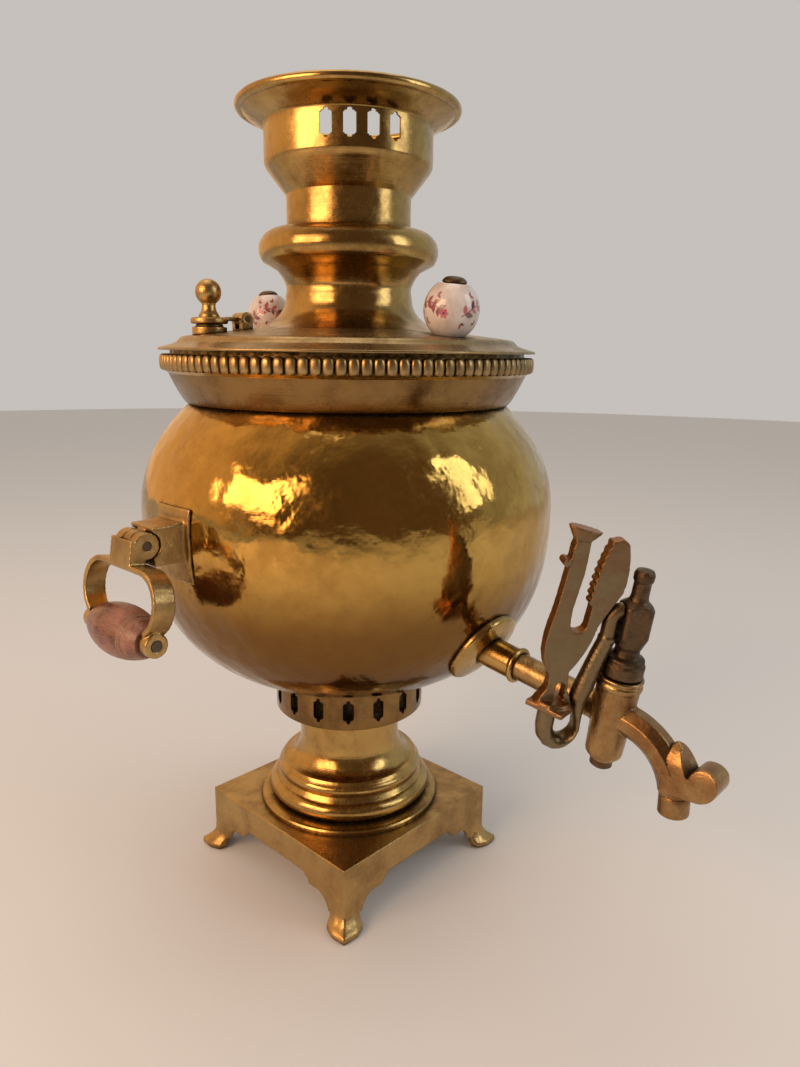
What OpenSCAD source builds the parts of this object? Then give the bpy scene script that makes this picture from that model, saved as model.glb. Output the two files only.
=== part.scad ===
// Charcoal samovar: a round brass urn on a square footed base, with a fire tube through its
// middle, a lid with porcelain knobs, a pierced crown for the teapot, drop handles with
// wooden grips, and a tap whose key carries a cast rooster.
// +Z is up, the tap points to -Y, and the origin is on the axis at the table.

/* [Metal and fits] */
// Thickness of the spun brass sheet
sheet = 1.2; // [0.8:0.1:1.6]
// Radial running clearance of pins and the tap plug
run_gap = 0.05; // [0.02:0.01:0.1]
// Clearance between pieces that move past each other
free_gap = 0.35; // [0.2:0.05:0.6]

/* [Base] */
// Side of the square base
base_w = 124; // [110:1:140]
// Height of the top of the base above the table
base_h = 40; // [36:1:46]
// Thickness of the cast top and aprons
base_wall = 3.5; // [2.5:0.5:5]
// Depth of the straight part of each apron
apron_h = 17.5; // [12:0.5:20]
// How far each foot reaches out past the corner
foot_reach = 10; // [6:0.5:14]

/* [Pedestal and blower] */
// Height of the spun pedestal
pedestal_h = 62.6; // [54:0.2:72]
// Radius of the pedestal's neck
pedestal_neck_r = 31; // [27:0.5:36]
// Radius of the flange that sits on the base
pedestal_flange_r = 56; // [52:0.5:60]
// Height of the pierced blower drum
blower_h = 22.8; // [20:0.2:28]
// How far the drum stands out past the bottom of the body
blower_ledge = 3; // [1.5:0.1:5]
// Number of draught vents round the drum
blower_vents = 16; // [12:1:18]
// Width of a draught vent
vent_w = 6.4; // [5:0.1:7.5]
// Height of a draught vent's straight sides
vent_h = 9.3; // [8:0.1:11]
// Turn of the first draught vent, in degrees
vent_turn = -133.9; // [-180:0.1:180]

/* [Body] */
// Largest radius of the round body
body_r = 119; // [110:0.5:128]
// Drop from the widest point to the foot of the body
body_drop = 104.6; // [98:0.2:106]
// Rise from the widest point to the shoulder seam
body_rise = 59; // [50:0.5:66]
// Height of the full lower curve
curve_low = 108; // [107:0.5:116]
// Height of the full upper curve
curve_up = 90; // [82:0.5:100]
// Squareness of the lower curve, 2 being an ellipse
fullness_low = 2.5; // [2.1:0.05:2.8]

/* [Shoulder and rim] */
// Height of the flared shoulder band
shoulder_h = 16; // [12:0.5:20]
// How far the band flares out over its height
shoulder_flare = 11; // [8:0.5:14]
// Height of the rim's beads
bead_h = 8.6; // [7:0.2:11]
// Number of beads round the rim
bead_count = 112; // [80:4:128]
// How far the beads stand out
bead_proud = 1.9; // [1.2:0.1:2.2]

/* [Fire tube] */
// Outside radius of the fire tube at the grate
tube_low_r = 33; // [31:0.5:36]
// Outside radius of the fire tube at the top
tube_top_r = 30.5; // [28:0.5:31]
// Thickness of the grate
grate_t = 3; // [2:0.5:4]

/* [Lid] */
// Rise of the lid from the rim to the foot of its collar
lid_rise = 11.6; // [10:0.2:14]
// Height of the collar on the lid
collar_h = 52.4; // [46:0.2:60]
// Largest radius of the collar's roll
collar_roll_r = 50; // [46:0.5:54]
// Distance of the knobs from the axis
knob_at = 80; // [76:0.5:84]
// Radius of a porcelain knob
knob_r = 14; // [12:0.5:15]
// Turn of the knobs away from the tap, in degrees
lid_turn = -4.5; // [-8:0.5:8]

/* [Steam vent] */
// Angle of the steam vent from +X, in degrees
steam_angle = 165; // [155:1:172]
// Distance of the steam vent from the axis
steam_at = 82; // [80:0.5:84]
// Radius of the vent's cap
steam_cap_r = 9.5; // [9:0.1:10]
// Distance from the vent to its hinge
steam_arm = 18; // [17:0.5:19]

/* [Crown] */
// Outside radius of the crown's neck
crown_neck_r = 34.4; // [33.5:0.1:36]
// Height of the crown's neck above the collar
crown_neck_h = 19; // [15:0.5:24]
// Radius of the pierced gallery
gallery_r = 46; // [43:0.5:50]
// Height of the gallery's wall
gallery_h = 19; // [16:0.5:21]
// Outer radius of the rolled rim
crown_rim_r = 61; // [56:0.5:66]
// Height of the whole bowl of the crown
crown_bowl_h = 46; // [43:0.5:52]
// Turn of the groups of gallery vents, in degrees
gallery_turn = -125; // [-180:1:180]

/* [Handles] */
// How far the hinge pin stands out from the body
hinge_out = 19.5; // [17:0.5:25]
// Height of the hinge pin above the widest point of the body, down being negative
hinge_dz = -3.1; // [-12:0.1:8]
// Lean of the hanging handle away from the body, in degrees
handle_lean = 9; // [4:0.5:12]
// Radius of the hinge pin
hinge_pin_r = 2.2; // [1.6:0.1:3]
// Radius of the hinge knuckles
knuckle_r = 6.5; // [5.5:0.1:7.5]
// Half width of the hinge and its block
block_half_w = 9.6; // [8:0.1:11]
// Half width of the strap ring
strap_half_w = 34.5; // [33:0.5:37]
// Width of the handle strap
strap_w = 11; // [9:0.5:13]
// Thickness of the handle strap
strap_t = 2.8; // [2:0.1:3.5]
// Drop from the hinge pin to the bolt through the grip
grip_drop = 42.5; // [41:0.5:46]
// Largest radius of the wooden grip
grip_r = 13; // [11:0.5:14]
// Radius of the bolt through the grip
grip_bolt_r = 2.6; // [2:0.1:3.2]

/* [Tap] */
// Distance of the tap's barrel from the axis
tap_reach = 180.8; // [174:0.2:190]
// Drop from the widest point to where the pipe's line crosses the axis
tap_drop = 49.5; // [44:0.5:54]
// Slope of the pipe, in degrees
tap_tilt = 8.5; // [6:0.5:11]
// Outside radius of the pipe
pipe_r = 7; // [6.4:0.1:7.6]
// Radius of the water way
water_r = 4; // [3:0.1:4.4]
// Radius of the escutcheon on the body
flange_r = 22; // [19:0.5:24]
// Radius of the barrel at its foot
barrel_r = 8.8; // [8.4:0.1:9.4]
// Length of the barrel below the water way
barrel_low = 21.8; // [18:0.2:24]
// Length of the barrel above the water way
barrel_up = 20.5; // [18:0.2:24]
// Radius of the bend of the spout
spout_bend = 30; // [28:0.5:34]
// Half width of the eight sided spout
spout_half = 7; // [6.6:0.1:8]
// Radius of the nozzle
nozzle_r = 7; // [6.2:0.1:7.4]
// Length of the nozzle
nozzle_h = 10; // [8:0.5:13]

/* [Key] */
// Turn of the closed key from the line across the tap, in degrees
key_rest = 40; // [36:1:44]
// Distance from the plug to the middle of the rooster's plate
plate_at = 30.5; // [30:0.5:33]
// Thickness of the cast rooster
rooster_t = 6.4; // [5:0.2:7]
// Radius of the arm's rod
arm_r = 3.6; // [3.2:0.1:3.8]
// Number of scallops on the tail
tail_scallops = 9; // [7:1:11]

/* [Hidden] */
$fn = 144;

// Heights of the seams, from the table up
pedestal_z = base_h;
blower_z = pedestal_z + pedestal_h;
body_z = blower_z + blower_h;
mid_z = body_z + body_drop;
shoulder_z = mid_z + body_rise;
rim_z = shoulder_z + shoulder_h;
bead_z = rim_z + 1.5;
lid_z = bead_z + bead_h + 2;
collar_z = lid_z + lid_rise;
crown_z = collar_z + collar_h;
bowl_z = crown_z + crown_neck_h;
crown_top_z = bowl_z + crown_bowl_h;

// The body's outline: a curve of its own above and below the widest point
function body_at(z) = z >= mid_z
    ? body_r * sqrt(1 - pow((z - mid_z) / curve_up, 2))
    : body_r * pow(1 - pow((mid_z - z) / curve_low, fullness_low), 1 / fullness_low);
low_end = asin(pow(body_drop / curve_low, fullness_low / 2));
up_end = asin(body_rise / curve_up);
function low_curve(a) = [body_r * pow(cos(a), 2 / fullness_low),
    mid_z - curve_low * pow(sin(a), 2 / fullness_low)];
function up_curve(a) = [body_r * cos(a), mid_z + curve_up * sin(a)];
curve_steps = 14;
body_line = concat(
    [for (i = [0 : curve_steps]) up_curve(up_end * (1 - i / curve_steps))],
    [for (i = [1 : curve_steps]) low_curve(low_end * i / curve_steps)]);
body_foot_r = body_at(body_z);
body_top_r = body_at(shoulder_z);

shoulder_low_r = body_top_r + 2;
shoulder_top_r = body_top_r + shoulder_flare;
rim_r = shoulder_top_r + 2.6;
rim_lip_r = shoulder_top_r - 2.4;
lid_r = rim_r + bead_proud + 0.5;
blower_r = body_foot_r + blower_ledge;

// Points of a round arc about c
function arc(c, r, a0, a1, n) =
    [for (i = [0 : n]) c + r * [cos(a0 + (a1 - a0) * i / n), sin(a0 + (a1 - a0) * i / n)]];
// An open outline moved sideways by t, to the left of its direction
function unit(v) = v / norm(v);
function side_step(p, i, t) =
    let (a = p[max(i - 1, 0)], b = p[min(i + 1, len(p) - 1)], d = unit(b - a))
    p[i] + t * [-d[1], d[0]];
function moved(p, t) = [for (i = [0 : len(p) - 1]) side_step(p, i, t)];
function reversed(p) = [for (i = [len(p) - 1 : -1 : 0]) p[i]];

// The same, with its two ends cut square to the nearest axis
function end_step(p, i, t) =
    let (n = (side_step(p, i, t) - p[i]) / t)
    p[i] + (abs(n[0]) > abs(n[1]) ? [t / n[0], 0] : [0, t / n[1]]);
function moved_square(p, t) = [for (i = [0 : len(p) - 1])
    (i == 0 || i == len(p) - 1) ? end_step(p, i, t) : side_step(p, i, t)];

// Sheet metal spun to an outline that runs from its top to its bottom, wall inside
module spun(line, t = sheet) {
    rotate_extrude() polygon(concat(line, reversed(moved_square(line, -t))));
}

module ring(r_out, r_in, h) {
    difference() {
        cylinder(r = r_out, h = h);
        translate([0, 0, -1]) cylinder(r = r_in, h = h + 2);
    }
}

// The body filled up, for seating what is soldered to it
module body_solid() {
    rotate_extrude() polygon(concat([[0, shoulder_z]], body_line, [[0, body_z]]));
}

// Pierced cartouche with a nib above and below, drawn in the plane and cut outward:
// h is the height of the straight sides
module cartouche(w, h, nib) {
    step = 0.13 * w;
    quarter = [[w / 2, h / 2], [0.38 * w, h / 2 + 0.4 * step], [0.36 * w, h / 2 + step],
        [0.2 * w, h / 2 + step], [0.17 * w, h / 2 + step + 0.75 * nib]];
    half = concat(quarter, [[0, h / 2 + step + nib]], [for (p = reversed(quarter)) [-p[0], p[1]]]);
    polygon(concat(half, [for (p = half) -p]));
}

module vent_cut(r, z, a, w, h, nib) {
    rotate([0, 0, a]) translate([r - 6, 0, z]) rotate([90, 0, 90])
        linear_extrude(12) cartouche(w, h, nib);
}

// ---- Base ----
base_half = base_w / 2;
corner_d = base_half * sqrt(2);

// Lower edge of an apron: straight, a step down to a lobe, then a sweep into the leg
module apron_gap() {
    straight = base_half - 35;
    lobe = base_half - 24;
    leg = base_half - 12;
    edge = base_h - apron_h;
    drop = 5.5;
    polygon(concat([[-straight, edge], [straight, edge]],
        arc([straight + 2.5, edge], 2.5, 180, 270, 4),
        [[straight + 4.5, edge - drop], [lobe, edge - drop]],
        arc([lobe - 1, edge - drop - 11], 11, 85, 8, 8),
        [[leg, -1], [-leg, -1]],
        reversed([for (p = arc([lobe - 1, edge - drop - 11], 11, 85, 8, 8)) [-p[0], p[1]]]),
        [[-lobe, edge - drop], [-straight - 4.5, edge - drop]],
        reversed([for (p = arc([straight + 2.5, edge], 2.5, 180, 270, 4)) [-p[0], p[1]]])));
}

// Plan outline of a leg at a height: a ridged corner that spreads into a round pad
function leg_ring(z, out, half, back) =
    [[out, 0, z], [out - 0.62 * half, 0.72 * half, z], [out - 1.25 * half, half, z],
        [back, 0.75 * half, z], [back, -0.75 * half, z], [out - 1.25 * half, -half, z],
        [out - 0.62 * half, -0.72 * half, z]];
leg_rings = [
    leg_ring(0, corner_d + foot_reach - 1.5, 9, corner_d - 7),
    leg_ring(1.5, corner_d + foot_reach, 10.6, corner_d - 8),
    leg_ring(4, corner_d + foot_reach - 1.5, 10.4, corner_d - 8.5),
    leg_ring(6.5, corner_d + 0.4 * foot_reach, 9, corner_d - 9),
    leg_ring(10, corner_d + 0.1 * foot_reach, 7.8, corner_d - 9),
    leg_ring(15, corner_d, 8.2, corner_d - 9.5),
    leg_ring(19, corner_d, 8.6, corner_d - 10)];

module leg() {
    n = len(leg_rings[0]);
    rows = len(leg_rings);
    points = [for (r = leg_rings) for (p = r) p];
    sides = [for (i = [0 : rows - 2]) for (k = [0 : n - 1])
        [i * n + k, (i + 1) * n + k, (i + 1) * n + (k + 1) % n, i * n + (k + 1) % n]];
    polyhedron(points, concat([[for (k = [0 : n - 1]) k]], sides,
        [[for (k = [n - 1 : -1 : 0]) (rows - 1) * n + k]]), convexity = 4);
}

module base() {
    inner = base_w - 2 * base_wall;
    color("darkgoldenrod") {
        difference() {
            translate([-base_half, -base_half, 8]) cube([base_w, base_w, base_h - 8]);
            translate([-inner / 2, -inner / 2, -1]) cube([inner, inner, base_h - base_wall + 1]);
            for (a = [0, 90])
                rotate([90, 0, a]) linear_extrude(base_w + 2, center = true) apron_gap();
        }
        for (a = [45 : 90 : 315]) rotate([0, 0, a]) leg();
    }
}

// ---- Pedestal: bell flare, dome, groove and roll ----
pedestal_line = let (n = pedestal_neck_r, h = pedestal_h) concat(
    [[n, h], [n, 0.68 * h]],
    [for (i = [1 : 5]) [n + 11 * (1 - cos(18 * i)), 0.68 * h - 0.25 * h * sin(18 * i)]],
    arc([n + 10.4, 0.345 * h], 3.6, 60, -30, 5),
    [[n + 13.2, 0.29 * h]],
    arc([n + 14, 0.155 * h], 5.6, 80, -70, 7),
    [[pedestal_flange_r - 4, 0.07 * h], [pedestal_flange_r - 0.6, 0.055 * h],
        [pedestal_flange_r, 0.04 * h], [pedestal_flange_r, 0]]);

module pedestal() {
    color("goldenrod") translate([0, 0, pedestal_z]) {
        spun(pedestal_line, 1.5 * sheet);
        translate([0, 0, pedestal_h - sheet]) cylinder(r = pedestal_neck_r - sheet, h = sheet);
    }
}

// ---- Blower drum: pierced wall, closed floor and a ledge for the body, tube and grate ----
drum_hole_r = tube_low_r - 4;
vent_nib = 1.9;
module blower_drum() {
    color("goldenrod") difference() {
        translate([0, 0, blower_z]) rotate_extrude() polygon([[0, 0], [blower_r - 0.8, 0],
            [blower_r, 0.8], [blower_r, blower_h - 0.8], [blower_r - 0.8, blower_h],
            [drum_hole_r, blower_h], [drum_hole_r, blower_h - sheet],
            [blower_r - sheet, blower_h - sheet], [blower_r - sheet, sheet], [0, sheet]]);
        for (i = [0 : blower_vents - 1])
            vent_cut(blower_r, blower_z + blower_h / 2, vent_turn + i * 360 / blower_vents, vent_w,
                vent_h, vent_nib);
    }
}

// ---- Body shell, closed below round the fire tube ----
module body_shell() {
    color("gold") difference() {
        rotate_extrude() polygon(concat(body_line, [[tube_low_r, body_z], [tube_low_r, body_z + sheet]],
            reversed([for (p = moved(body_line, -sheet)) [p[0], max(p[1], body_z + sheet)]])));
        at_tap() pipe_run(pipe_r);
    }
}

// ---- Shoulder, rim seat and beads ----
shoulder_line = [for (i = [0 : 6]) let (f = 1 - i / 6)
    [shoulder_low_r + (shoulder_top_r - shoulder_low_r) * pow(f, 0.8), shoulder_h * f]];
module shoulder_band() {
    color("goldenrod") translate([0, 0, shoulder_z]) {
        spun(shoulder_line);
        ring(shoulder_low_r - 0.6, body_top_r - sheet, sheet);
    }
}

bead_back = 1;
module rim_seat() {
    color("darkgoldenrod") translate([0, 0, rim_z]) rotate_extrude() polygon([
        [rim_lip_r, 0], [shoulder_top_r, 0], [rim_r - 0.8, 1.5], [rim_r - bead_back, 1.5],
        [rim_r - bead_back, 1.5 + bead_h], [rim_lip_r + sheet, 1.5 + bead_h],
        [rim_lip_r + sheet, lid_z - rim_z], [rim_lip_r, lid_z - rim_z]]);
}

// Half round beads in a band, seven points to a bead
module beaded_rim() {
    per_bead = 6;
    count = bead_count * per_bead;
    outline = [for (i = [0 : count - 1]) let (a = 360 * i / count,
        r = rim_r + bead_proud * sqrt(abs(sin(180 * (i % per_bead) / per_bead))))
        r * [cos(a), sin(a)]];
    color("goldenrod") translate([0, 0, bead_z]) difference() {
        linear_extrude(bead_h) polygon(outline);
        translate([0, 0, -1]) cylinder(r = rim_r - bead_back, h = bead_h + 2, $fn = 720);
    }
}

// ---- Fire tube and grate ----
tube_top_z = crown_z + 5;
tube_line = [[tube_top_r, tube_top_z], [tube_top_r, crown_z - 30], [tube_low_r, body_z + 12],
    [tube_low_r, body_z]];
module fire_tube() {
    color("peru") spun(tube_line);
}

module grate() {
    r = tube_low_r - sheet - free_gap;
    color("dimgray") translate([0, 0, body_z]) difference() {
        cylinder(r = r, h = grate_t);
        for (row = [1 : 2]) for (k = [0 : 6 * row - 1])
            rotate([0, 0, 360 * k / (6 * row)]) translate([row * r * 0.4, 0, -1])
                cylinder(r = 0.125 * r, h = grate_t + 2);
        translate([0, 0, -1]) cylinder(r = 0.125 * r, h = grate_t + 2);
    }
}

// ---- Handles: everything is drawn for the +X side and turned for the other ----
hinge_at = body_r + hinge_out;
hinge_z = mid_z + hinge_dz;
tongue_half = block_half_w / 3;
module at_hinge() {
    translate([hinge_at, 0, hinge_z]) children();
}
// The handle hangs plumb in its own drawing, with the pin at the origin, and leans as a whole
module leaning() {
    at_hinge() rotate([0, -handle_lean, 0]) children();
}
// A bar across the handle, along Y
module cross_bar(r, half) {
    rotate([90, 0, 0]) cylinder(r = r, h = 2 * half, center = true);
}

box_top = 8.5;
box_low = 10.5;
box_half = block_half_w + 0.8;
block_up = 2.5;
pad_half_w = 13;
pad_up = 14;
pad_low = 20.8;
pad_t = 1.4;
pad_lip = 1.5;
arm_front = hinge_at - block_up - free_gap;
neck_x = hinge_at - knuckle_r - 5.5;
flare_len = neck_x - body_r + 9;
flare_steps = 6;

// Box arm that flares into its pad: a is the size at the neck, b the size at the pad
function flared(a, b) = concat([[arm_front, a]],
    [for (i = [0 : flare_steps]) let (f = i / flare_steps) [neck_x - flare_len * f, a + (b - a) * f * f]]);
module flared_arm() {
    intersection() {
        translate([0, 0, hinge_z - pad_low - 1]) linear_extrude(pad_low + pad_up + 2)
            polygon(concat(flared(box_half, pad_half_w), reversed(flared(-box_half, -pad_half_w))));
        rotate([90, 0, 0]) linear_extrude(2 * pad_half_w + 2, center = true)
            polygon(concat(flared(hinge_z + box_top, hinge_z + pad_up),
                reversed(flared(hinge_z - box_low, hinge_z - pad_low))));
    }
}

module handle_bracket() {
    color("goldenrod") difference() {
        union() {
            difference() {
                union() {
                    flared_arm();
                    // soldered pad that follows the body
                    intersection() {
                        rotate_extrude() polygon(concat([[0, shoulder_z]], moved(body_line, pad_t),
                            [[0, body_z]]));
                        translate([body_r - 34, -pad_half_w - pad_lip, hinge_z - pad_low - pad_lip])
                            cube([40, 2 * (pad_half_w + pad_lip), pad_up + pad_low + 2 * pad_lip]);
                    }
                }
                body_solid();
                // round seat for the ears
                at_hinge() cross_bar(knuckle_r + free_gap, box_half + 1);
            }
            // middle knuckle
            at_hinge() rotate([90, 0, 0]) linear_extrude(2 * tongue_half, center = true) {
                circle(r = knuckle_r);
                translate([-knuckle_r - 1, -3]) square([knuckle_r + 1, 3 + knuckle_r]);
            }
        }
        at_hinge() cross_bar(hinge_pin_r, tongue_half + 1);
    }
}

module hinge_pin() {
    color("gray") at_hinge() cross_bar(hinge_pin_r, block_half_w - 0.6);
}

// Distances from the pin: out to the strap's middle, down to the block's foot, out to its face
strap_x = 3;
block_low = 9;
block_out = 8.5;
boss_r = 5.9;
boss_in = 24;
boss_out = 30.5;
strap_bend = 16;

// Strap outline across the handle: flat under the block, round at the sides
strap_turn = 62;
function strap_arc(r) = arc([strap_half_w - strap_bend, -block_low - strap_bend], r, 90, -strap_turn, 14);
function strap_half(r) = concat([[0, -block_low - strap_bend + r]], strap_arc(r));
module strap_outline() {
    out = strap_half(strap_bend);
    inn = strap_half(strap_bend - strap_t);
    right = concat(out, reversed(inn));
    polygon(right);
    polygon([for (p = reversed(right)) [-p[0], p[1]]]);
}

module handle_strap() {
    slot = knuckle_r + 1;
    color("goldenrod") leaning() difference() {
        union() {
            // ears and block
            difference() {
                union() {
                    cross_bar(knuckle_r, block_half_w);
                    translate([0, -block_half_w, -block_low])
                        cube([block_out, 2 * block_half_w, block_low + block_up]);
                }
                cube([2 * slot, 2 * (tongue_half + free_gap), 2 * slot], center = true);
            }
            translate([slot, -block_half_w, -block_low])
                cube([block_out - slot, 2 * block_half_w, block_low + block_up]);
            // flat strap
            translate([strap_x, 0, 0]) rotate([90, 0, 90])
                linear_extrude(strap_w, center = true) strap_outline();
            // bosses for the grip bolt
            for (s = [-1, 1])
                translate([strap_x, s * (boss_in + boss_out) / 2, -grip_drop])
                    cross_bar(boss_r, (boss_out - boss_in) / 2);
        }
        cross_bar(hinge_pin_r + run_gap, block_half_w + 1);
        translate([strap_x, 0, -grip_drop]) cross_bar(grip_bolt_r, boss_out + 1);
    }
}

module grip_bolt() {
    color("gray") leaning() translate([strap_x, 0, -grip_drop]) cross_bar(grip_bolt_r, boss_out);
}

// Turned wooden barrel with two cut rings
grip_end_r = 7.2;
grip_half = boss_in - free_gap;
groove_at = [0.26, 0.38];
function grip_line_r(f) = grip_end_r + (grip_r - grip_end_r) * pow(cos(90 * f), 0.8);
module grip() {
    bore = grip_bolt_r + run_gap;
    steps = 24;
    side = [for (i = [-steps : steps]) let (f = i / steps)
        [grip_line_r(abs(f)), f * grip_half]];
    color("saddlebrown") leaning() translate([strap_x, 0, -grip_drop]) rotate([90, 0, 0]) difference() {
        rotate_extrude() polygon(concat([[bore, -grip_half]], side, [[bore, grip_half]]));
        for (g = groove_at) translate([0, 0, g * grip_half])
            ring(grip_r + 2, grip_line_r(g) - 0.5, 0.9);
    }
}

// ---- Tap: drawn about the barrel, z up the barrel, y back along the pipe ----
tap_z = mid_z - tap_drop - tap_reach * tan(tap_tilt);
module at_tap() {
    translate([0, -tap_reach, tap_z]) rotate([tap_tilt, 0, 0]) children();
}
flange_z = mid_z - tap_drop - (body_r - 14) * tan(tap_tilt);
flange_at = body_at(flange_z);
flange_lean = atan(body_at(flange_z + 0.5) - body_at(flange_z - 0.5));
wall_y = (tap_reach - flange_at) / cos(tap_tilt);
pipe_in = wall_y + 9;
ferrule_len = 23;

module pipe_run(r, from = 0) {
    translate([0, from, 0]) rotate([-90, 0, 0]) cylinder(r = r, h = pipe_in - from);
}

// Dished escutcheon soldered square to the body
module tap_flange() {
    color("goldenrod") difference() {
        translate([0, -flange_at, flange_z]) rotate([90 + flange_lean, 0, 0])
            rotate_extrude() polygon([[0, -8], [flange_r, -8], [flange_r, 0.2],
                [flange_r - 1, 1.4], [flange_r - 5, 2.4], [flange_r - 10, 3.6], [0, 3.6]]);
        body_solid();
        at_tap() pipe_run(pipe_r + 1.25);
    }
}

// Sleeve and ring over the root of the pipe
module tap_ferrule() {
    color("goldenrod") difference() {
        at_tap() {
            pipe_run(pipe_r + 1.25, wall_y - ferrule_len);
            translate([0, wall_y - ferrule_len, 0]) rotate([-90, 0, 0]) rotate_extrude()
                polygon([[0, -1.2], [pipe_r + 1.4, -1.2], [pipe_r + 2.5, -0.5],
                    [pipe_r + 2.5, 0.7], [pipe_r + 1.4, 1.4], [0, 1.4]]);
        }
        body_solid();
        at_tap() pipe_run(pipe_r, 1);
    }
}

// Plug taper, shared by the barrel and the plug
plug_low_r = 5.4;
plug_top_r = 7.2;
barrel_top_r = barrel_r + 1.4;
module taper(gap, over) {
    slope = (plug_top_r - plug_low_r) / (barrel_low + barrel_up);
    translate([0, 0, -barrel_low - over]) cylinder(r1 = plug_low_r + gap - slope * over,
        r2 = plug_top_r + gap + slope * over, h = barrel_low + barrel_up + 2 * over);
}

// Frame of the spout: x outward, y up, z across
spout_x = tap_reach + 3.4;
spout_y = mid_z - tap_drop - spout_x * tan(tap_tilt) - spout_bend;
nozzle_top = spout_y + 3;
module tap_plane() {
    rotate([90, 0, -90]) children();
}
module spout_bar() {
    difference() {
        tap_plane() translate([spout_x, spout_y, 0]) rotate_extrude(angle = 92)
            translate([spout_bend, 0]) rotate([0, 0, 22.5]) circle(r = spout_half / cos(22.5), $fn = 8);
        translate([-20, -spout_x - spout_bend - 20, nozzle_top - 40]) cube([40, 60, 40]);
    }
}
module water_way() {
    at_tap() pipe_run(water_r);
    tap_plane() translate([spout_x, spout_y, 0]) {
        rotate_extrude(angle = 92) translate([spout_bend, 0]) circle(r = water_r - 0.3);
        translate([spout_bend, 0, 0]) rotate([90, 0, 0])
            cylinder(r = water_r - 0.3, h = 2 * nozzle_h, center = true);
    }
}
module barrel() {
    bead_r = barrel_top_r + 0.6;
    rotate_extrude() polygon([[0, -barrel_low], [barrel_r - 0.8, -barrel_low], [barrel_r, -barrel_low + 1.4],
        [barrel_top_r, barrel_up - 6], [bead_r, barrel_up - 5.4], [bead_r, barrel_up - 3.4],
        [barrel_top_r, barrel_up - 2.8], [barrel_top_r, barrel_up - 1.8], [bead_r, barrel_up - 1.2],
        [bead_r, barrel_up - 0.4], [barrel_top_r, barrel_up], [0, barrel_up]]);
}

module tap_body() {
    color("peru") difference() {
        union() {
            at_tap() barrel();
            at_tap() pipe_run(pipe_r);
            spout_bar();
        }
        at_tap() taper(run_gap, 1);
        water_way();
    }
}

// Scrolled thumb rest: a shield on the front of the spout whose toe curls up into a roll
scroll_w = 14.4;
roll_r = 6.4;
module scroll_side() {
    x = spout_x + spout_bend;
    y = nozzle_top;
    roll = [x + 14.4, y + 12.2];
    polygon(concat([[x - 4.7, y + 1], [x - 4.4, y + 13], [x - 2.6, y + 22]],
        arc([x - 0.2, y + 22.6], 2.5, 150, 20, 5),
        [[x + 3.6, y + 20], [x + 5.6, y + 15.2], [x + 7.6, y + 11.6]],
        arc(roll, roll_r, 200, 0, 12),
        arc(roll - [3.1, 0], roll_r + 3.1, 0, -90, 8)));
}
// Front outline: straight sides and a pointed arch
module scroll_front() {
    y = nozzle_top;
    half = scroll_w / 2;
    arch = [for (i = [0 : 8]) [half * pow(cos(90 * i / 8), 0.8), y + 11 + 14.4 * pow(i / 8, 0.8)]];
    polygon(concat([[-half, y - 3], [half, y - 3]], arch,
        reversed([for (i = [0 : 7]) [-arch[i][0], arch[i][1]]])));
}
module spout_scroll() {
    color("peru") difference() {
        intersection() {
            tap_plane() linear_extrude(scroll_w, center = true) scroll_side();
            translate([0, -tap_reach, 0]) rotate([90, 0, 0]) linear_extrude(80) scroll_front();
        }
        spout_bar();
    }
}

module tap_nozzle() {
    color("peru") difference() {
        translate([0, -spout_x - spout_bend, nozzle_top - nozzle_h]) rotate_extrude() polygon([
            [0, 0], [nozzle_r - 0.4, 0], [nozzle_r, 0.6], [nozzle_r, nozzle_h - 2],
            [nozzle_r - 0.4, nozzle_h], [0, nozzle_h]]);
        water_way();
    }
}

// ---- Key: x along the arm, z up the plug ----
module at_key() {
    at_tap() rotate([0, 0, 180 - key_rest]) children();
}
// Plane of the rooster, x along the arm, y up
module key_plane(t) {
    rotate([90, 0, 0]) linear_extrude(t, center = true) children();
}
collar_low = barrel_up + free_gap;
block_z = collar_low + 16;
block_h = 21.5;
block_r = 8.4;
block_w = 13.2;
tail_h = 5;

module tap_plug() {
    color("sienna") at_key() difference() {
        union() {
            taper(0, 0);
            translate([0, 0, barrel_up - 1]) cylinder(r = plug_top_r, h = 2);
            translate([0, 0, collar_low]) rotate_extrude() polygon([[0, 0], [barrel_top_r - 0.8, 0],
                [barrel_top_r - 0.4, 0.6], [barrel_top_r - 0.4, 6.4], [barrel_top_r - 1.4, 7.2],
                [barrel_top_r - 1, 8.2], [barrel_top_r - 1.4, 9.4], [6.2, 10.4], [5.8, 13.5],
                [7, 16], [0, 16]]);
            intersection() {
                translate([-block_w / 2, -block_w / 2, block_z]) cube([block_w, block_w, block_h]);
                translate([0, 0, block_z]) rotate_extrude() polygon([[0, 0], [6.8, 0], [block_r, 4],
                    [block_r, block_h - 3], [4.6, block_h], [0, block_h]]);
            }
            // finial
            translate([0, 0, block_z + block_h]) rotate_extrude() polygon([[0, 0], [4.6, 0], [4.2, 2],
                [4.1, 8.4], [4.8, 9.6], [4.9, 12.4], [4, 14.4], [0, 15.2]]);
            // stub for the washer and nut
            translate([0, 0, -barrel_low - tail_h]) cylinder(r = 3, h = tail_h);
        }
        // water port, across the pipe while the key is closed
        rotate([0, 0, -180 + key_rest]) rotate([0, 90, 0]) cylinder(r = water_r - 0.2, h = 40, center = true);
    }
}

module plug_washer() {
    color("goldenrod") at_key() translate([0, 0, -barrel_low - free_gap - 1.4]) ring(6.4, 3, 1.4);
}

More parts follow.
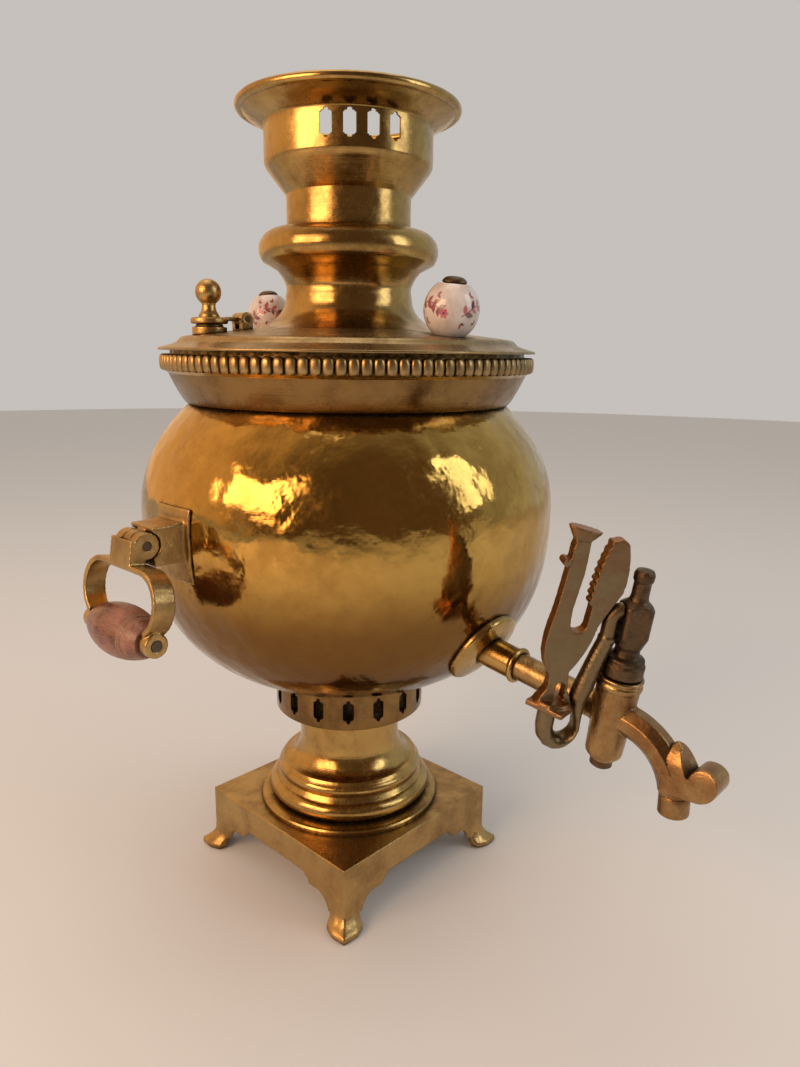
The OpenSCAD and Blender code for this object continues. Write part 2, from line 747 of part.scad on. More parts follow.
module plug_nut() {
    color("sienna") at_key() difference() {
        translate([0, 0, -barrel_low - tail_h - 1.6]) rotate_extrude() polygon([[0, 0], [4.2, 0],
            [5.4, 1], [5.4, tail_h - 0.15 - free_gap], [0, tail_h - 0.15 - free_gap]]);
        translate([0, 0, -barrel_low - tail_h]) cylinder(r = 3, h = tail_h + 2);
    }
}

plate_z = 2.4;
plate_t = 2.5;
plate_half = 13.3;
plate_side = plate_half * sqrt(2);
pad_r = 8.9;
arm_x = 11;
arm_bend = 5;
arm_knee = 38.5;
band_half = 5.4;
bend_r = 4.5;
bend_x = plate_at - 7.2;
bend_z = -8;
post_half = 4.2;
post_x = bend_x + bend_r + post_half;

// Rings along the limb: place across and up, lean of the ring, half thickness, half width
limb_rings = concat([[arm_x, arm_knee, 13, arm_r + 0.3, arm_r + 0.3],
    [arm_x + 2.4, arm_knee - 9.5, 13, arm_r + 0.7, arm_r + 0.7],
    [arm_x + 4.6, arm_knee - 18.5, 13, arm_r + 0.8, arm_r + 0.9],
    [arm_x + 6, arm_knee - 25, 12, arm_r + 1, arm_r + 1.3],
    [bend_x - 4.8, bend_z + 16, 8, 4.2, 5], [bend_x - 5, bend_z + 11, 3, 3.2, 5.2],
    [bend_x - 5.6, bend_z + 6, 0, 2, band_half]],
    [for (b = [[0, 1.6], [35, 1.6], [60, 2.1], [80, 2.9], [95, 3.4], [110, 3.9], [130, 4.1],
        [155, post_half], [180, post_half]])
        [bend_x - (bend_r + b[1]) * cos(b[0]), bend_z - (bend_r + b[1]) * sin(b[0]), b[0], b[1], band_half]],
    [[post_x, plate_z, 180, post_half, band_half - 0.2]]);
limb_sides = 20;
function limb_ring(q) = [for (k = [0 : limb_sides - 1]) let (a = 360 * k / limb_sides)
    [q[0] + q[3] * cos(a) * cos(q[2]), q[4] * sin(a), q[1] + q[3] * cos(a) * sin(q[2])]];
module limb() {
    n = limb_sides;
    rows = len(limb_rings);
    points = [for (q = limb_rings) for (p = limb_ring(q)) p];
    sides = [for (i = [0 : rows - 2]) for (k = [0 : n - 1]) let (a = i * n + k, b = i * n + (k + 1) % n)
        for (tri = [[a, b, b + n], [a, b + n, a + n]]) tri];
    polyhedron(points, concat([[for (k = [n - 1 : -1 : 0]) k]], sides,
        [[for (k = [0 : n - 1]) (rows - 1) * n + k]]), convexity = 6);
}

module key_arm() {
    color("sienna") at_key() {
        // elbow out of the block, then the rod down to the knee and its collar
        difference() {
            translate([arm_x - arm_bend, 0, block_z + 11]) rotate([90, 0, 0])
                rotate_extrude(angle = 90) translate([arm_bend, 0]) circle(r = arm_r);
            translate([-block_w / 2, -block_w / 2, block_z]) cube([block_w, block_w, block_h]);
        }
        translate([arm_x, 0, arm_knee]) cylinder(r = arm_r, h = block_z + 11 - arm_knee);
        translate([arm_x, 0, arm_knee - 1]) cylinder(r = arm_r + 0.6, h = 2.2);
        limb();
    }
}

// Cast rooster: neck, breast, scalloped tail, flared comb and two legs on a round pad
neck_top = 84.6;
wattle_at = [37.4, 74.2];
leg_gap_x = 29;
module rooster_outline() {
    breast = [[27.4, 20], [35.8, 20], [38.4, 24.4], [39.8, 30], [40, 36], [39.4, 43], [38.2, 50],
        [37.4, 57], [36.6, 66], [36, 74], [35.6, neck_top - 3], [35, neck_top]];
    nape = [[28.6, neck_top], [28.4, 76], [28.7, 68.7], [29.7, 60.3], [30.6, 52.5], [30.5, 48]];
    gap_arc = arc([26.5, 45.4], 3.9, 10, -170, 8);
    tail_in = [[22, 56], [22, 64], [21.6, 71], [20.6, 78], [18.6, 83.4]];
    tail_out = concat(arc([14.4, 82.4], 4, 30, 150, 5), [[9.6, 79], [8.8, 73], [8.6, 66.5],
        [9.4, 61.5], [14.2, 52], [17.4, 45], [18.8, 38], [20.6, 32.6], [23.4, 26.6], [25.6, 23]]);
    polygon(concat(breast, nape, gap_arc, tail_in, tail_out));
    // scallops along the inner edge of the tail
    for (i = [0 : tail_scallops - 1]) let (f = i / (tail_scallops - 1))
        translate([22.1 - 4.6 * f * f, 56.5 + 27.5 * f]) circle(r = 1.6);
}
// Two legs with an arch between them
module leg_outline() {
    difference() {
        polygon([[26.4, 21.5], [35.4, 21.5], [35, 15.5], [35.4, 12], [37.4, 9], [38, 6.6], [23, 6.6],
            [23.6, 9], [25.4, 12.4], [26, 17]]);
        translate([leg_gap_x, 13.6]) circle(r = 2.3);
        translate([leg_gap_x - 2.3, 5]) square([4.6, 8.6]);
    }
}
module comb() {
    comb_r = 7.9;
    top = neck_top + 4.6;
    difference() {
        hull() {
            translate([28.8, -2.6, neck_top - 0.6]) cube([6.2, 5.2, 0.6]);
            translate([31.2, 0, top]) rotate([0, -10, 0]) scale([1, 0.56, 1])
                cylinder(r = comb_r, h = 0.8, $fn = 32);
        }
        // serrated top
        translate([31.2, 0, top + 0.8]) rotate([0, -10, 0]) for (k = [-3 : 3])
            translate([2.4 * k, 0, 0.3]) rotate([0, 45, 0]) cube([1, 3 * comb_r, 1], center = true);
    }
}
module rooster() {
    shift = plate_at - 30.5;
    color("darkkhaki") at_key() {
        translate([shift, 0, 0]) {
            key_plane(rooster_t) {
                rooster_outline();
                leg_outline();
            }
            key_plane(rooster_t + 1.4) translate(wattle_at) circle(r = 1.8);
            comb();
        }
        // square plate and round pad, cut back at the inner corner for the long limb of the arm
        difference() {
            union() {
                translate([plate_at - 0.7, 0, plate_z]) rotate([0, 0, 45])
                    translate([-plate_side / 2, -plate_side / 2, 0])
                        cube([plate_side, plate_side, plate_t]);
                translate([plate_at, 0, plate_z + plate_t]) rotate_extrude()
                    polygon([[0, -1], [pad_r, -1], [pad_r, 1], [pad_r - 0.7, 1.7], [0, 2.1]]);
            }
            translate([0, -plate_half, plate_z - 1])
                cube([bend_x - 1 + free_gap, 2 * plate_half, plate_t + 4]);
        }
    }
}

// ---- Lid ----
collar_foot_r = crown_neck_r + 26;
ledge_r = lid_r - 10.4;
lid_line = reversed([[lid_r - 0.4, 0], [lid_r, 0.5], [lid_r - 0.3, 1.3], [lid_r - 3, 2],
    [ledge_r + 1.2, 0.33 * lid_rise], [ledge_r, 0.4 * lid_rise], [ledge_r - 2, 0.6 * lid_rise],
    [ledge_r - 5, 0.66 * lid_rise], [ledge_r - 17, 0.78 * lid_rise],
    [ledge_r - 31, 0.93 * lid_rise], [collar_foot_r, lid_rise]]);
function lid_top(r) = lookup(r, [for (p = lid_line) [p[0], p[1]]]);
skirt_r = rim_lip_r - 0.7;

module lid_hole(r) {
    translate([0, 0, lid_z - 10]) cylinder(r = r, h = 30);
}
module at_knob(s) {
    rotate([0, 0, lid_turn - 90 + 90 * (1 - s)]) translate([knob_at, 0, lid_z + lid_top(knob_at)])
        rotate([0, 7, 0]) children();
}
module at_steam() {
    rotate([0, 0, steam_angle]) translate([steam_at, 0, lid_z + lid_top(steam_at)]) children();
}

module lid_plate() {
    color("gold") difference() {
        union() {
            translate([0, 0, lid_z]) {
                spun(lid_line);
                translate([0, 0, -8]) ring(skirt_r, skirt_r - sheet, 8);
                ring(rim_lip_r + 3.2, skirt_r - sheet, 1.8);
            }
        }
        for (s = [-1, 1]) at_knob(s) translate([0, 0, -9]) cylinder(r = bolt_r, h = 18);
        at_steam() translate([0, 0, -9]) cylinder(r = steam_seat_r, h = 18);
    }
}

collar_line = let (n = crown_neck_r, h = collar_h) concat(
    arc([n + 5, h - 9.6], collar_roll_r - n - 5, 82, -38, 9),
    [[n + 6, 0.62 * h], [n + 2.6, 0.54 * h]],
    arc([n + 9.8, 0.42 * h], 9.2, 165, 200, 3),
    [for (i = [1 : 5]) let (a = 18 * i) [n + 1.2 + (collar_foot_r - n - 1.2) * (1 - cos(a)),
        0.34 * h * (1 - sin(a))]]);
collar_mouth_r = crown_neck_r + free_gap;
module lid_collar() {
    color("gold") translate([0, 0, collar_z]) {
        spun(collar_line, 1);
        translate([0, 0, collar_h - 1.4]) ring(crown_neck_r + 7, collar_mouth_r, 1.4);
    }
}

// Porcelain knob clamped to the lid by a bolt with a domed head
bolt_r = 2.4;
knob_h = 1.78 * knob_r;
module knob() {
    difference() {
        rotate_extrude() polygon(concat([[0, 0]],
            [for (i = [0 : 14]) let (a = -56 + 112 * i / 14)
                [knob_r * cos(a), knob_h / 2 * (1 + sin(a) / sin(56))]], [[0, knob_h]]));
        translate([0, 0, -1]) cylinder(r = bolt_r + run_gap, h = knob_h + 2);
    }
}
module knob_front() {
    color("white") at_knob(1) knob();
}
module knob_back() {
    color("white") at_knob(-1) knob();
}
module knob_bolts() {
    color("dimgray") for (s = [-1, 1]) at_knob(s) {
        translate([0, 0, -7]) cylinder(r = bolt_r, h = knob_h + 8);
        translate([0, 0, knob_h]) rotate_extrude() polygon([[0, 0], [5.4, 0], [6.2, 0.8], [5.4, 2.4],
            [3.4, 3.3], [0, 3.5]]);
    }
}
module knob_nuts() {
    color("dimgray") for (s = [-1, 1]) at_knob(s) translate([0, 0, -5.2]) difference() {
        cylinder(r = 5, h = 3.4, $fn = 6);
        translate([0, 0, -1]) cylinder(r = bolt_r, h = 6);
    }
}

// ---- Steam vent: seat through the lid, hinged cap with a turned knob ----
steam_seat_r = 7;
steam_hole_r = 3.6;
seat_up = 4.6;
steam_pin_r = 1.4;
steam_knuckle_r = 3.6;
steam_knuckle_half = 2.6;
steam_hinge_half = 7.6;
cap_t = 3.2;
steam_pin_z = seat_up + 2.9;
module steam_hinge_bar(r, half) {
    translate([-steam_arm, 0, steam_pin_z]) cross_bar(r, half);
}
module lid_solid() {
    translate([0, 0, lid_z]) rotate_extrude() polygon(concat([[0, -20], [0, lid_rise]], lid_line,
        [[lid_r, -20]]));
}
module steam_seat() {
    color("goldenrod") {
        at_steam() difference() {
            translate([0, 0, -4]) cylinder(r = steam_seat_r, h = seat_up + 4);
            translate([0, 0, -5]) cylinder(r = steam_hole_r, h = seat_up + 7);
        }
        difference() {
            at_steam() difference() {
                translate([0, 0, -3]) cylinder(r = steam_cap_r - 0.6, h = seat_up + 1.6);
                translate([0, 0, -5]) cylinder(r = steam_seat_r, h = seat_up + 7);
            }
            lid_solid();
        }
    }
}
// Leaf soldered to the lid, with the two outer knuckles
module steam_leaf() {
    color("goldenrod") difference() {
        at_steam() difference() {
            union() {
                steam_hinge_bar(steam_knuckle_r, steam_hinge_half);
                translate([-steam_arm - 3, -steam_hinge_half, -6])
                    cube([6, 2 * steam_hinge_half, 6 + steam_pin_z]);
            }
            translate([-steam_arm - 10, -steam_knuckle_half - free_gap, 2.4])
                cube([20, 2 * (steam_knuckle_half + free_gap), 20]);
            steam_hinge_bar(steam_pin_r, steam_hinge_half + 1);
        }
        lid_solid();
    }
}
module steam_hinge_pin() {
    color("gray") at_steam() steam_hinge_bar(steam_pin_r, steam_hinge_half);
}
module steam_cap() {
    color("goldenrod") at_steam() difference() {
        union() {
            translate([0, 0, seat_up + 0.2]) rotate_extrude() polygon([[0, 0], [steam_cap_r - 0.5, 0],
                [steam_cap_r, 0.6], [steam_cap_r, cap_t - 0.8], [steam_cap_r - 1, cap_t], [0, cap_t]]);
            translate([-steam_arm, -steam_knuckle_half, steam_pin_z - 1])
                cube([steam_arm - steam_cap_r + 2, 2 * steam_knuckle_half, 2]);
            steam_hinge_bar(steam_knuckle_r, steam_knuckle_half);
        }
        steam_hinge_bar(steam_pin_r + run_gap, steam_hinge_half);
    }
}
module steam_knob() {
    color("darkgoldenrod") at_steam() translate([0, 0, seat_up + 0.2 + cap_t]) rotate_extrude()
        polygon(concat([[0, 0], [5.4, 0], [5, 1.6], [3.6, 3.4], [3.4, 6]],
            arc([0, 12.6], 6.6, -56, 90, 10)));
}

// ---- Crown ----
neck_in_r = crown_neck_r - sheet;
module crown_neck() {
    color("goldenrod") translate([0, 0, crown_z]) {
        translate([0, 0, -7]) ring(crown_neck_r, neck_in_r, crown_neck_h + 7);
        rotate_extrude() polygon([[neck_in_r + 0.2, 0], [crown_neck_r + 1.6, 0],
            [crown_neck_r + 2, 0.8], [crown_neck_r + 1.4, 1.8], [neck_in_r + 0.2, 2.4]]);
    }
}
roll_in = 3.4;
roll_low = 4.6;
gallery_z = crown_bowl_h - gallery_h - 11.4;
bowl_line = let (h = crown_bowl_h) concat([[crown_rim_r - roll_in, h - roll_low],
    [crown_rim_r - 7, h - 7.4], [gallery_r + 2.6, h - 10], [gallery_r + 0.5, h - 10.9],
    [gallery_r, gallery_z + gallery_h], [gallery_r, gallery_z], [gallery_r - 0.9, gallery_z - 2.1]],
    [[crown_neck_r + 1.4, 0.1 * gallery_z], [crown_neck_r, 0]]);
gallery_nib = 1.4;
module crown_bowl() {
    color("goldenrod") difference() {
        translate([0, 0, bowl_z]) spun(bowl_line);
        for (g = [0 : 2]) for (k = [-1.5 : 1 : 1.5])
            vent_cut(gallery_r, bowl_z + gallery_z + 0.6 * gallery_h, gallery_turn + 120 * g + 15 * k,
                vent_w, 0.5 * gallery_h, gallery_nib);
    }
}
module crown_rim() {
    r = 2.4;
    color("goldenrod") translate([0, 0, crown_top_z - r]) difference() {
        rotate_extrude() {
            translate([crown_rim_r - r, 0]) circle(r = r, $fn = 32);
        }
        translate([0, 0, r - crown_bowl_h]) spun(bowl_line);
    }
}

base();
pedestal();
blower_drum();
body_shell();
shoulder_band();
rim_seat();
beaded_rim();
fire_tube();
grate();
rotate([0, 0, 180]) handle_bracket();  // handle_bracket_left
handle_bracket();  // handle_bracket_right
rotate([0, 0, 180]) hinge_pin();  // hinge_pin_left
hinge_pin();  // hinge_pin_right
tap_flange();
tap_ferrule();
tap_body();
spout_scroll();
tap_nozzle();
lid_plate();
lid_collar();
knob_front();
knob_back();
knob_bolts();
knob_nuts();
steam_seat();
steam_leaf();
steam_hinge_pin();
steam_cap();
steam_knob();
crown_neck();
crown_bowl();
crown_rim();
rotate([0, 0, 180]) handle_strap();  // handle_strap_left
handle_strap();  // handle_strap_right
rotate([0, 0, 180]) grip_bolt();  // grip_bolt_left
grip_bolt();  // grip_bolt_right
rotate([0, 0, 180]) grip();  // grip_left
grip();  // grip_right
tap_plug();
plug_washer();
plug_nut();
key_arm();
rooster();
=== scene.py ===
import math

import bmesh
import bpy
import numpy as np
from mathutils import Matrix, Vector


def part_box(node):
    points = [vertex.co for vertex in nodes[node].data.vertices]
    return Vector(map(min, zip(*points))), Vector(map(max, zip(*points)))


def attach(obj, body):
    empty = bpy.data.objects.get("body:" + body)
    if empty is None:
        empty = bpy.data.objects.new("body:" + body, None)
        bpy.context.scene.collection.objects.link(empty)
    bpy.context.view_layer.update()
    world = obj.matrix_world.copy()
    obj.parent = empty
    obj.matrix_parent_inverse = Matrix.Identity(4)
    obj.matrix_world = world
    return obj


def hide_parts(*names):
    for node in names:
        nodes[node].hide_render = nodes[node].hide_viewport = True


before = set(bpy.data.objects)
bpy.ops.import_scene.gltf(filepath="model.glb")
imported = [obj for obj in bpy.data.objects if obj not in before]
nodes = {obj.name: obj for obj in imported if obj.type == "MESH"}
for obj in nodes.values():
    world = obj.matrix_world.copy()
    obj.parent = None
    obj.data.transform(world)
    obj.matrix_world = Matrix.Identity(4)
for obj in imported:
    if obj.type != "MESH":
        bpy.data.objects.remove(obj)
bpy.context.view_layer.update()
scene = bpy.context.scene

# ---- Table, room and lamps ----
# A pale table top in a pale room. Two large soft lamps stand left and right and a third hangs above.
# The camera sees a plain room and dull surfaces are lit by it, but what the metal mirrors is tinted:
# warm on the left, cool on the right, and dim on the camera's side.
table_colour = (0.66, 0.63, 0.60, 1)
room_colour = (0.56, 0.53, 0.50, 1)
warm_colour = (0.95, 0.60, 0.32, 1)
cool_colour = (0.50, 0.53, 0.52, 1)
dim_colour = (0.12, 0.075, 0.045, 1)
room_strength = 1.1
towards_right = (0.69, -0.72, 0)
towards_camera = (-0.55, -0.80, 0.20)
table_radius = 4.0


class Nodes:
    """Short forms for building one node tree. Inputs are given by name or number, each as a value
    or as the output of another node."""

    def __init__(self, tree):
        self.tree = tree

    def feed(self, node, inputs):
        for key, value in inputs.items():
            if isinstance(value, bpy.types.NodeSocket):
                self.tree.links.new(value, node.inputs[key])
            else:
                node.inputs[key].default_value = value

    def node(self, kind, inputs=None, **settings):
        node = self.tree.nodes.new(kind)
        for name, setting in settings.items():
            setattr(node, name, setting)
        self.feed(node, inputs or {})
        return node

    def maths(self, operation, a, b=0.0):
        return self.node("ShaderNodeMath", {0: a, 1: b}, operation=operation).outputs[0]

    def span(self, value, low, high, to_low=0.0, to_high=1.0, curve="SMOOTHSTEP"):
        """A value between low and high carried over to another span."""
        limits = {"From Min": low, "From Max": high, "To Min": to_low, "To Max": to_high}
        limits["Value"] = value
        return self.node("ShaderNodeMapRange", limits, interpolation_type=curve).outputs["Result"]

    def blend(self, factor, a, b):
        """A colour mixed from two. The Mix node's colours go in at 6 and 7 and come out at 2."""
        colours = {"Factor": factor, 6: a, 7: b}
        return self.node("ShaderNodeMix", colours, data_type="RGBA").outputs[2]

    def noise(self, place, scale, detail, rough=0.6):
        grain = {"Vector": place, "Scale": scale, "Detail": detail, "Roughness": rough}
        return self.node("ShaderNodeTexNoise", grain).outputs["Fac"]

    def ramp(self, factor, low, dark, high, light):
        """A colour that goes from dark at a low factor to light at a high one."""
        node = self.node("ShaderNodeValToRGB", {"Fac": factor})
        first, last = node.color_ramp.elements
        first.position, first.color = low, dark
        last.position, last.color = high, light
        return node.outputs["Color"]

    def attribute(self, name):
        return self.node("ShaderNodeAttribute", attribute_name=name).outputs["Fac"]

    def place(self):
        return self.node("ShaderNodeTexCoord").outputs["Object"]


def new_finish(name):
    """A new material, its node tree's short forms and its shader."""
    finish = bpy.data.materials.new(name)
    finish.use_nodes = True
    return finish, Nodes(finish.node_tree), finish.node_tree.nodes["Principled BSDF"]


def tinted_room():
    room = bpy.data.worlds.new("room")
    room.use_nodes = True
    room.node_tree.nodes.clear()
    build = Nodes(room.node_tree)
    rays = build.node("ShaderNodeLightPath").outputs
    direction = build.node("ShaderNodeTexCoord").outputs["Generated"]

    def facing(way, low, high):
        along = build.node("ShaderNodeVectorMath", {0: direction, 1: way}, operation="DOT_PRODUCT")
        return build.span(along.outputs["Value"], low, high)

    def glow(colour, strength=1.0):
        return build.node("ShaderNodeBackground", {"Color": colour, "Strength": strength}).outputs[0]

    def choice(factor, a, b):
        return build.node("ShaderNodeMixShader", {"Fac": factor, 1: a, 2: b}).outputs[0]

    tinted = build.blend(facing(towards_right, -0.7, 0.6), warm_colour, cool_colour)
    mirrored = build.blend(facing(towards_camera, -0.2, 0.75), tinted, dim_colour)
    cast_light = choice(rays["Is Glossy Ray"], glow(room_colour, room_strength), glow(mirrored))
    straight = build.maths("MAXIMUM", rays["Is Camera Ray"], rays["Is Transmission Ray"])
    build.node("ShaderNodeOutputWorld", {"Surface": choice(straight, cast_light, glow(room_colour))})
    return room


bpy.ops.mesh.primitive_circle_add(vertices=96, radius=table_radius, fill_type="NGON")
table = bpy.context.object
table.name = "table_top"
table_finish, table_nodes, table_shader = new_finish("table_top")
table_nodes.feed(table_shader, {"Base Color": table_colour, "Roughness": 0.85})
table.data.materials.append(table_finish)
scene.world = tinted_room()


def soft_lamp(name, place, aim, size, watts, colour):
    lamp = bpy.data.lights.new(name, "AREA")
    lamp.shape = "RECTANGLE"
    lamp.size, lamp.size_y = size
    lamp.energy = watts
    lamp.color = colour
    stand = bpy.data.objects.new(name, lamp)
    stand.location = place
    stand.rotation_euler = (Vector(aim) - Vector(place)).to_track_quat("-Z", "Y").to_euler()
    scene.collection.objects.link(stand)


middle = (0, 0, 0.22)
soft_lamp("lamp_left", (-1.25, 0.10, 0.75), middle, (0.9, 0.7), 13, (1.0, 0.62, 0.36))
soft_lamp("lamp_right", (0.55, -1.15, 0.85), middle, (0.5, 0.9), 4, (0.86, 0.93, 1.0))
soft_lamp("lamp_above", (0.1, 0.2, 1.6), middle, (1.1, 1.1), 4, (1.0, 0.96, 0.92))

lens_mm, sensor_mm = 26.87, 36
eye_at = (-0.3215, -0.3448, 0.3185)
eye_turn = (77.033, -0.747, -46.556)
camera = bpy.data.cameras.new("camera")
camera.sensor_fit = "VERTICAL"
camera.sensor_height = sensor_mm
camera.lens = lens_mm
camera.clip_start = 0.02
camera.clip_end = 50
eye = bpy.data.objects.new("camera", camera)
eye.location = eye_at
eye.rotation_euler = [math.radians(a) for a in eye_turn]
scene.collection.objects.link(eye)
scene.camera = eye
scene.view_settings.view_transform = "Standard"


# ---- Base ----
# Square base with four feet, cast in brass in one piece and filed: flat top and aprons, a sharp ridge
# down each leg, and soft edges where the mould and the file have rounded it.
def metal_finish(name, bright, stain, gloss, dull, stained=0.5, rings=0.0, pits=0.0, dents=0.0,
                 grime_and_shade=0.6, grime_and_shade_reach=0.006, reflected_below=None, edges=None):
    """Old metal: stains in clouds and small patches, dark specks, and dirt with painted shade in the
    corners, where ambient occlusion darkens the colour. rings is how much the lathe has marked it,
    pits the mould and dents the years. The colour and two heights given for the lower part of a piece
    paint it a darker brown that sets in between them, a painted reflection of the dark below, and
    edges is the colour of the narrow sides of a flat casting."""
    finish, build, shader = new_finish(name)
    noise, span, maths, blend = build.noise, build.span, build.maths, build.blend
    place = build.place()
    parts = build.node("ShaderNodeSeparateXYZ", {0: place}).outputs
    clouds = noise(place, 16, 3)
    patches = noise(place, 85, 8, 0.68)
    specks = noise(place, 900, 3)
    fine = noise(place, 330, 5, 0.7)
    both = maths("MULTIPLY", maths("ADD", clouds, patches), 0.5)
    stain_part = maths("MULTIPLY", span(both, 0.40, 0.66), stained)
    speck_part = maths("MULTIPLY", span(specks, 0.66, 0.74), span(patches, 0.45, 0.7))
    # Ambient occlusion darkens the colour in corners and gaps: dirt together with painted shade.
    corners = build.node("ShaderNodeAmbientOcclusion", {"Distance": grime_and_shade_reach}, samples=8)
    dirt_and_shade = maths("MULTIPLY", span(corners.outputs["AO"], 0.95, 0.45), span(fine, 0.2, 0.7, 0.3, grime_and_shade))
    dark = tuple(0.16 * c for c in stain[:3]) + (1,)
    colour = blend(stain_part, bright, stain)
    # The lower part gets a darker brown: a painted reflection of the dark below.
    if reflected_below:
        brown, brown_low, brown_high = reflected_below
        uneven = maths("ADD", parts["Z"], maths("MULTIPLY", clouds, 0.02))
        colour = blend(span(uneven, brown_high + 0.01, brown_low + 0.01, 0.0, 0.85), colour, brown)
    if edges:
        rubbed = maths("MULTIPLY", build.attribute("narrow"), span(fine, 0.3, 0.7, 0.45, 1.0))
        colour = blend(rubbed, colour, edges)
    colour = blend(maths("MULTIPLY", speck_part, 0.4), colour, dark)
    colour = blend(dirt_and_shade, colour, dark)
    smear = maths("ADD", maths("MULTIPLY", patches, 0.6), maths("MULTIPLY", fine, 0.4))
    rough = maths("ADD", span(smear, 0.38, 0.66, gloss, dull), maths("MULTIPLY", dirt_and_shade, 0.25))
    build.feed(shader, {"Metallic": 1.0, "Base Color": colour, "Roughness": rough})

    relief = []
    if dents:
        relief.append((noise(place, 24, 2, 0.5), 0.004 * dents))
        relief.append((noise(place, 120, 2, 0.5), 0.0004 * dents))
    if pits:
        relief.append((noise(place, 700, 4, 0.65), 0.00025 * pits))
        relief.append((noise(place, 150, 3, 0.6), 0.0006 * pits))
    if rings:
        squares = maths("ADD", maths("MULTIPLY", parts["X"], parts["X"]),
                        maths("MULTIPLY", parts["Y"], parts["Y"]))
        across = build.node("ShaderNodeCombineXYZ", {"X": maths("POWER", squares, 0.5), "Y": parts["Z"]})
        relief.append((noise(across.outputs[0], 1400, 3), 0.00006 * rings))
    normal = None
    for height, depth in relief:
        bump = build.node("ShaderNodeBump", {"Distance": depth, "Height": height})
        if normal is not None:
            build.feed(bump, {"Normal": normal})
        normal = bump.outputs["Normal"]
    if normal is not None:
        build.feed(shader, {"Normal": normal})
    return finish


def fix(piece, body, slot, finish, *replaced):
    """Fixes a finished piece to its body, in place of the solids that it stands for."""
    piece.data.materials.clear()
    piece.data.materials.append(finish)
    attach(piece, body)
    if replaced:
        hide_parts(*replaced)


def coat(node, finish):
    """Gives its finish to a solid that is shown as it was packed."""
    nodes[node].data.materials.clear()
    nodes[node].data.materials.append(finish)


def made(name, mesh):
    piece = bpy.data.objects.new(name, mesh)
    scene.collection.objects.link(piece)
    return piece


def baked(piece):
    """The piece with its modifiers applied."""
    bpy.context.view_layer.update()
    graph = bpy.context.evaluated_depsgraph_get()
    mesh = bpy.data.meshes.new_from_object(piece.evaluated_get(graph))
    piece.modifiers.clear()
    piece.data = mesh
    mesh.name = piece.name
    return piece


def cast(name, node, grain, rounds, slack=0.0):
    """A casting: the solid of its node with its edges softened by the size of grain, ground back
    all over by slack where it runs in another piece."""
    shape = bmesh.new()
    shape.from_mesh(nodes[node].data)
    bmesh.ops.remove_doubles(shape, verts=shape.verts, dist=1e-6)
    mesh = bpy.data.meshes.new(name)
    shape.to_mesh(mesh)
    shape.free()
    piece = made(name, mesh)
    mould = piece.modifiers.new("mould", "REMESH")
    mould.mode = "VOXEL"
    mould.voxel_size = grain
    file = piece.modifiers.new("file", "SMOOTH")
    file.factor = 0.5
    file.iterations = rounds
    if slack:
        ground = piece.modifiers.new("ground", "DISPLACE")
        ground.mid_level = 0
        ground.strength = -slack
    baked(piece)
    piece.data.shade_smooth()
    return piece


cast_brass = metal_finish("cast_brass", (0.52, 0.34, 0.13, 1), (0.20, 0.11, 0.045, 1), 0.26, 0.42,
                          stained=0.75, pits=0.6, grime_and_shade=0.9)
fix(cast("base_casting", "base", 0.001, 3), "vessel", "cast_brass", cast_brass, "base")


# ---- Pedestal ----
# Foot spun from sheet brass on the lathe: a bell that flares from a straight neck, a roll, a groove,
# a full dome and a flat flange that is soldered to the base.
def arc(centre, radius, start, end, steps=16):
    turns = [math.radians(start + (end - start) * i / steps) for i in range(steps + 1)]
    return [(centre[0] + radius * math.cos(t), centre[1] + radius * math.sin(t)) for t in turns]


def eased(line, rounds=3):
    """Rounds the corners of an outline and keeps its two ends."""
    for _ in range(rounds):
        cut = [line[0]]
        for (ax, ay), (bx, by) in zip(line, line[1:]):
            cut += [(0.75 * ax + 0.25 * bx, 0.75 * ay + 0.25 * by),
                    (0.25 * ax + 0.75 * bx, 0.25 * ay + 0.75 * by)]
        line = cut + [line[-1]]
    return line


def walled(line, wall, rounds=0):
    """Closes an outline that runs from top to bottom with a second one inside it, with mitred
    corners that are then rounded alike in both."""
    points = np.array(line)
    run = np.diff(points, axis=0)
    run /= np.linalg.norm(run, axis=1)[:, None]
    side = np.column_stack([run[:, 1], -run[:, 0]])
    both = side[:-1] + side[1:]
    step = wall * np.vstack([side[:1], 2 * both / np.sum(both ** 2, axis=1)[:, None], side[-1:]])
    for end in (0, -1):
        x, y = step[end]
        step[end] = (wall * wall / x, 0) if abs(x) > abs(y) else (0, wall * wall / y)
    inside = points + step
    outer, inner = eased([tuple(p) for p in points], rounds), eased([tuple(p) for p in inside], rounds)
    return outer + inner[::-1]


def turned(name, outline, place=None, steps=240, angle=32):
    """A piece turned about Z from a closed outline of (radius, height), then put in its place."""
    turn = np.arange(steps) * 2 * math.pi / steps
    corners, rings = [], []
    for radius, height in outline:
        first = len(corners)
        if radius < 1e-6:
            corners.append((0, 0, height))
        else:
            corners += [(radius * math.cos(t), radius * math.sin(t), height) for t in turn]
        rings.append(range(first, len(corners)))
    faces = []
    for here, there in zip(rings, rings[1:] + rings[:1]):
        for i in range(steps):
            j = (i + 1) % steps
            if len(here) > 1 and len(there) > 1:
                faces.append((here[i], here[j], there[j], there[i]))
            elif len(here) > 1:
                faces.append((here[i], here[j], there[0]))
            elif len(there) > 1:
                faces.append((here[0], there[j], there[i]))
    mesh = bpy.data.meshes.new(name)
    mesh.from_pydata(corners, [], faces)
    shape = bmesh.new()
    shape.from_mesh(mesh)
    bmesh.ops.recalc_face_normals(shape, faces=shape.faces)
    shape.to_mesh(mesh)
    shape.free()
    if place is not None:
        mesh.transform(place)
    mesh.shade_smooth()
    mesh.set_sharp_from_angle(angle=math.radians(angle))
    return made(name, mesh)


def raised(outline, height):
    return [(r, z + height) for r, z in outline]


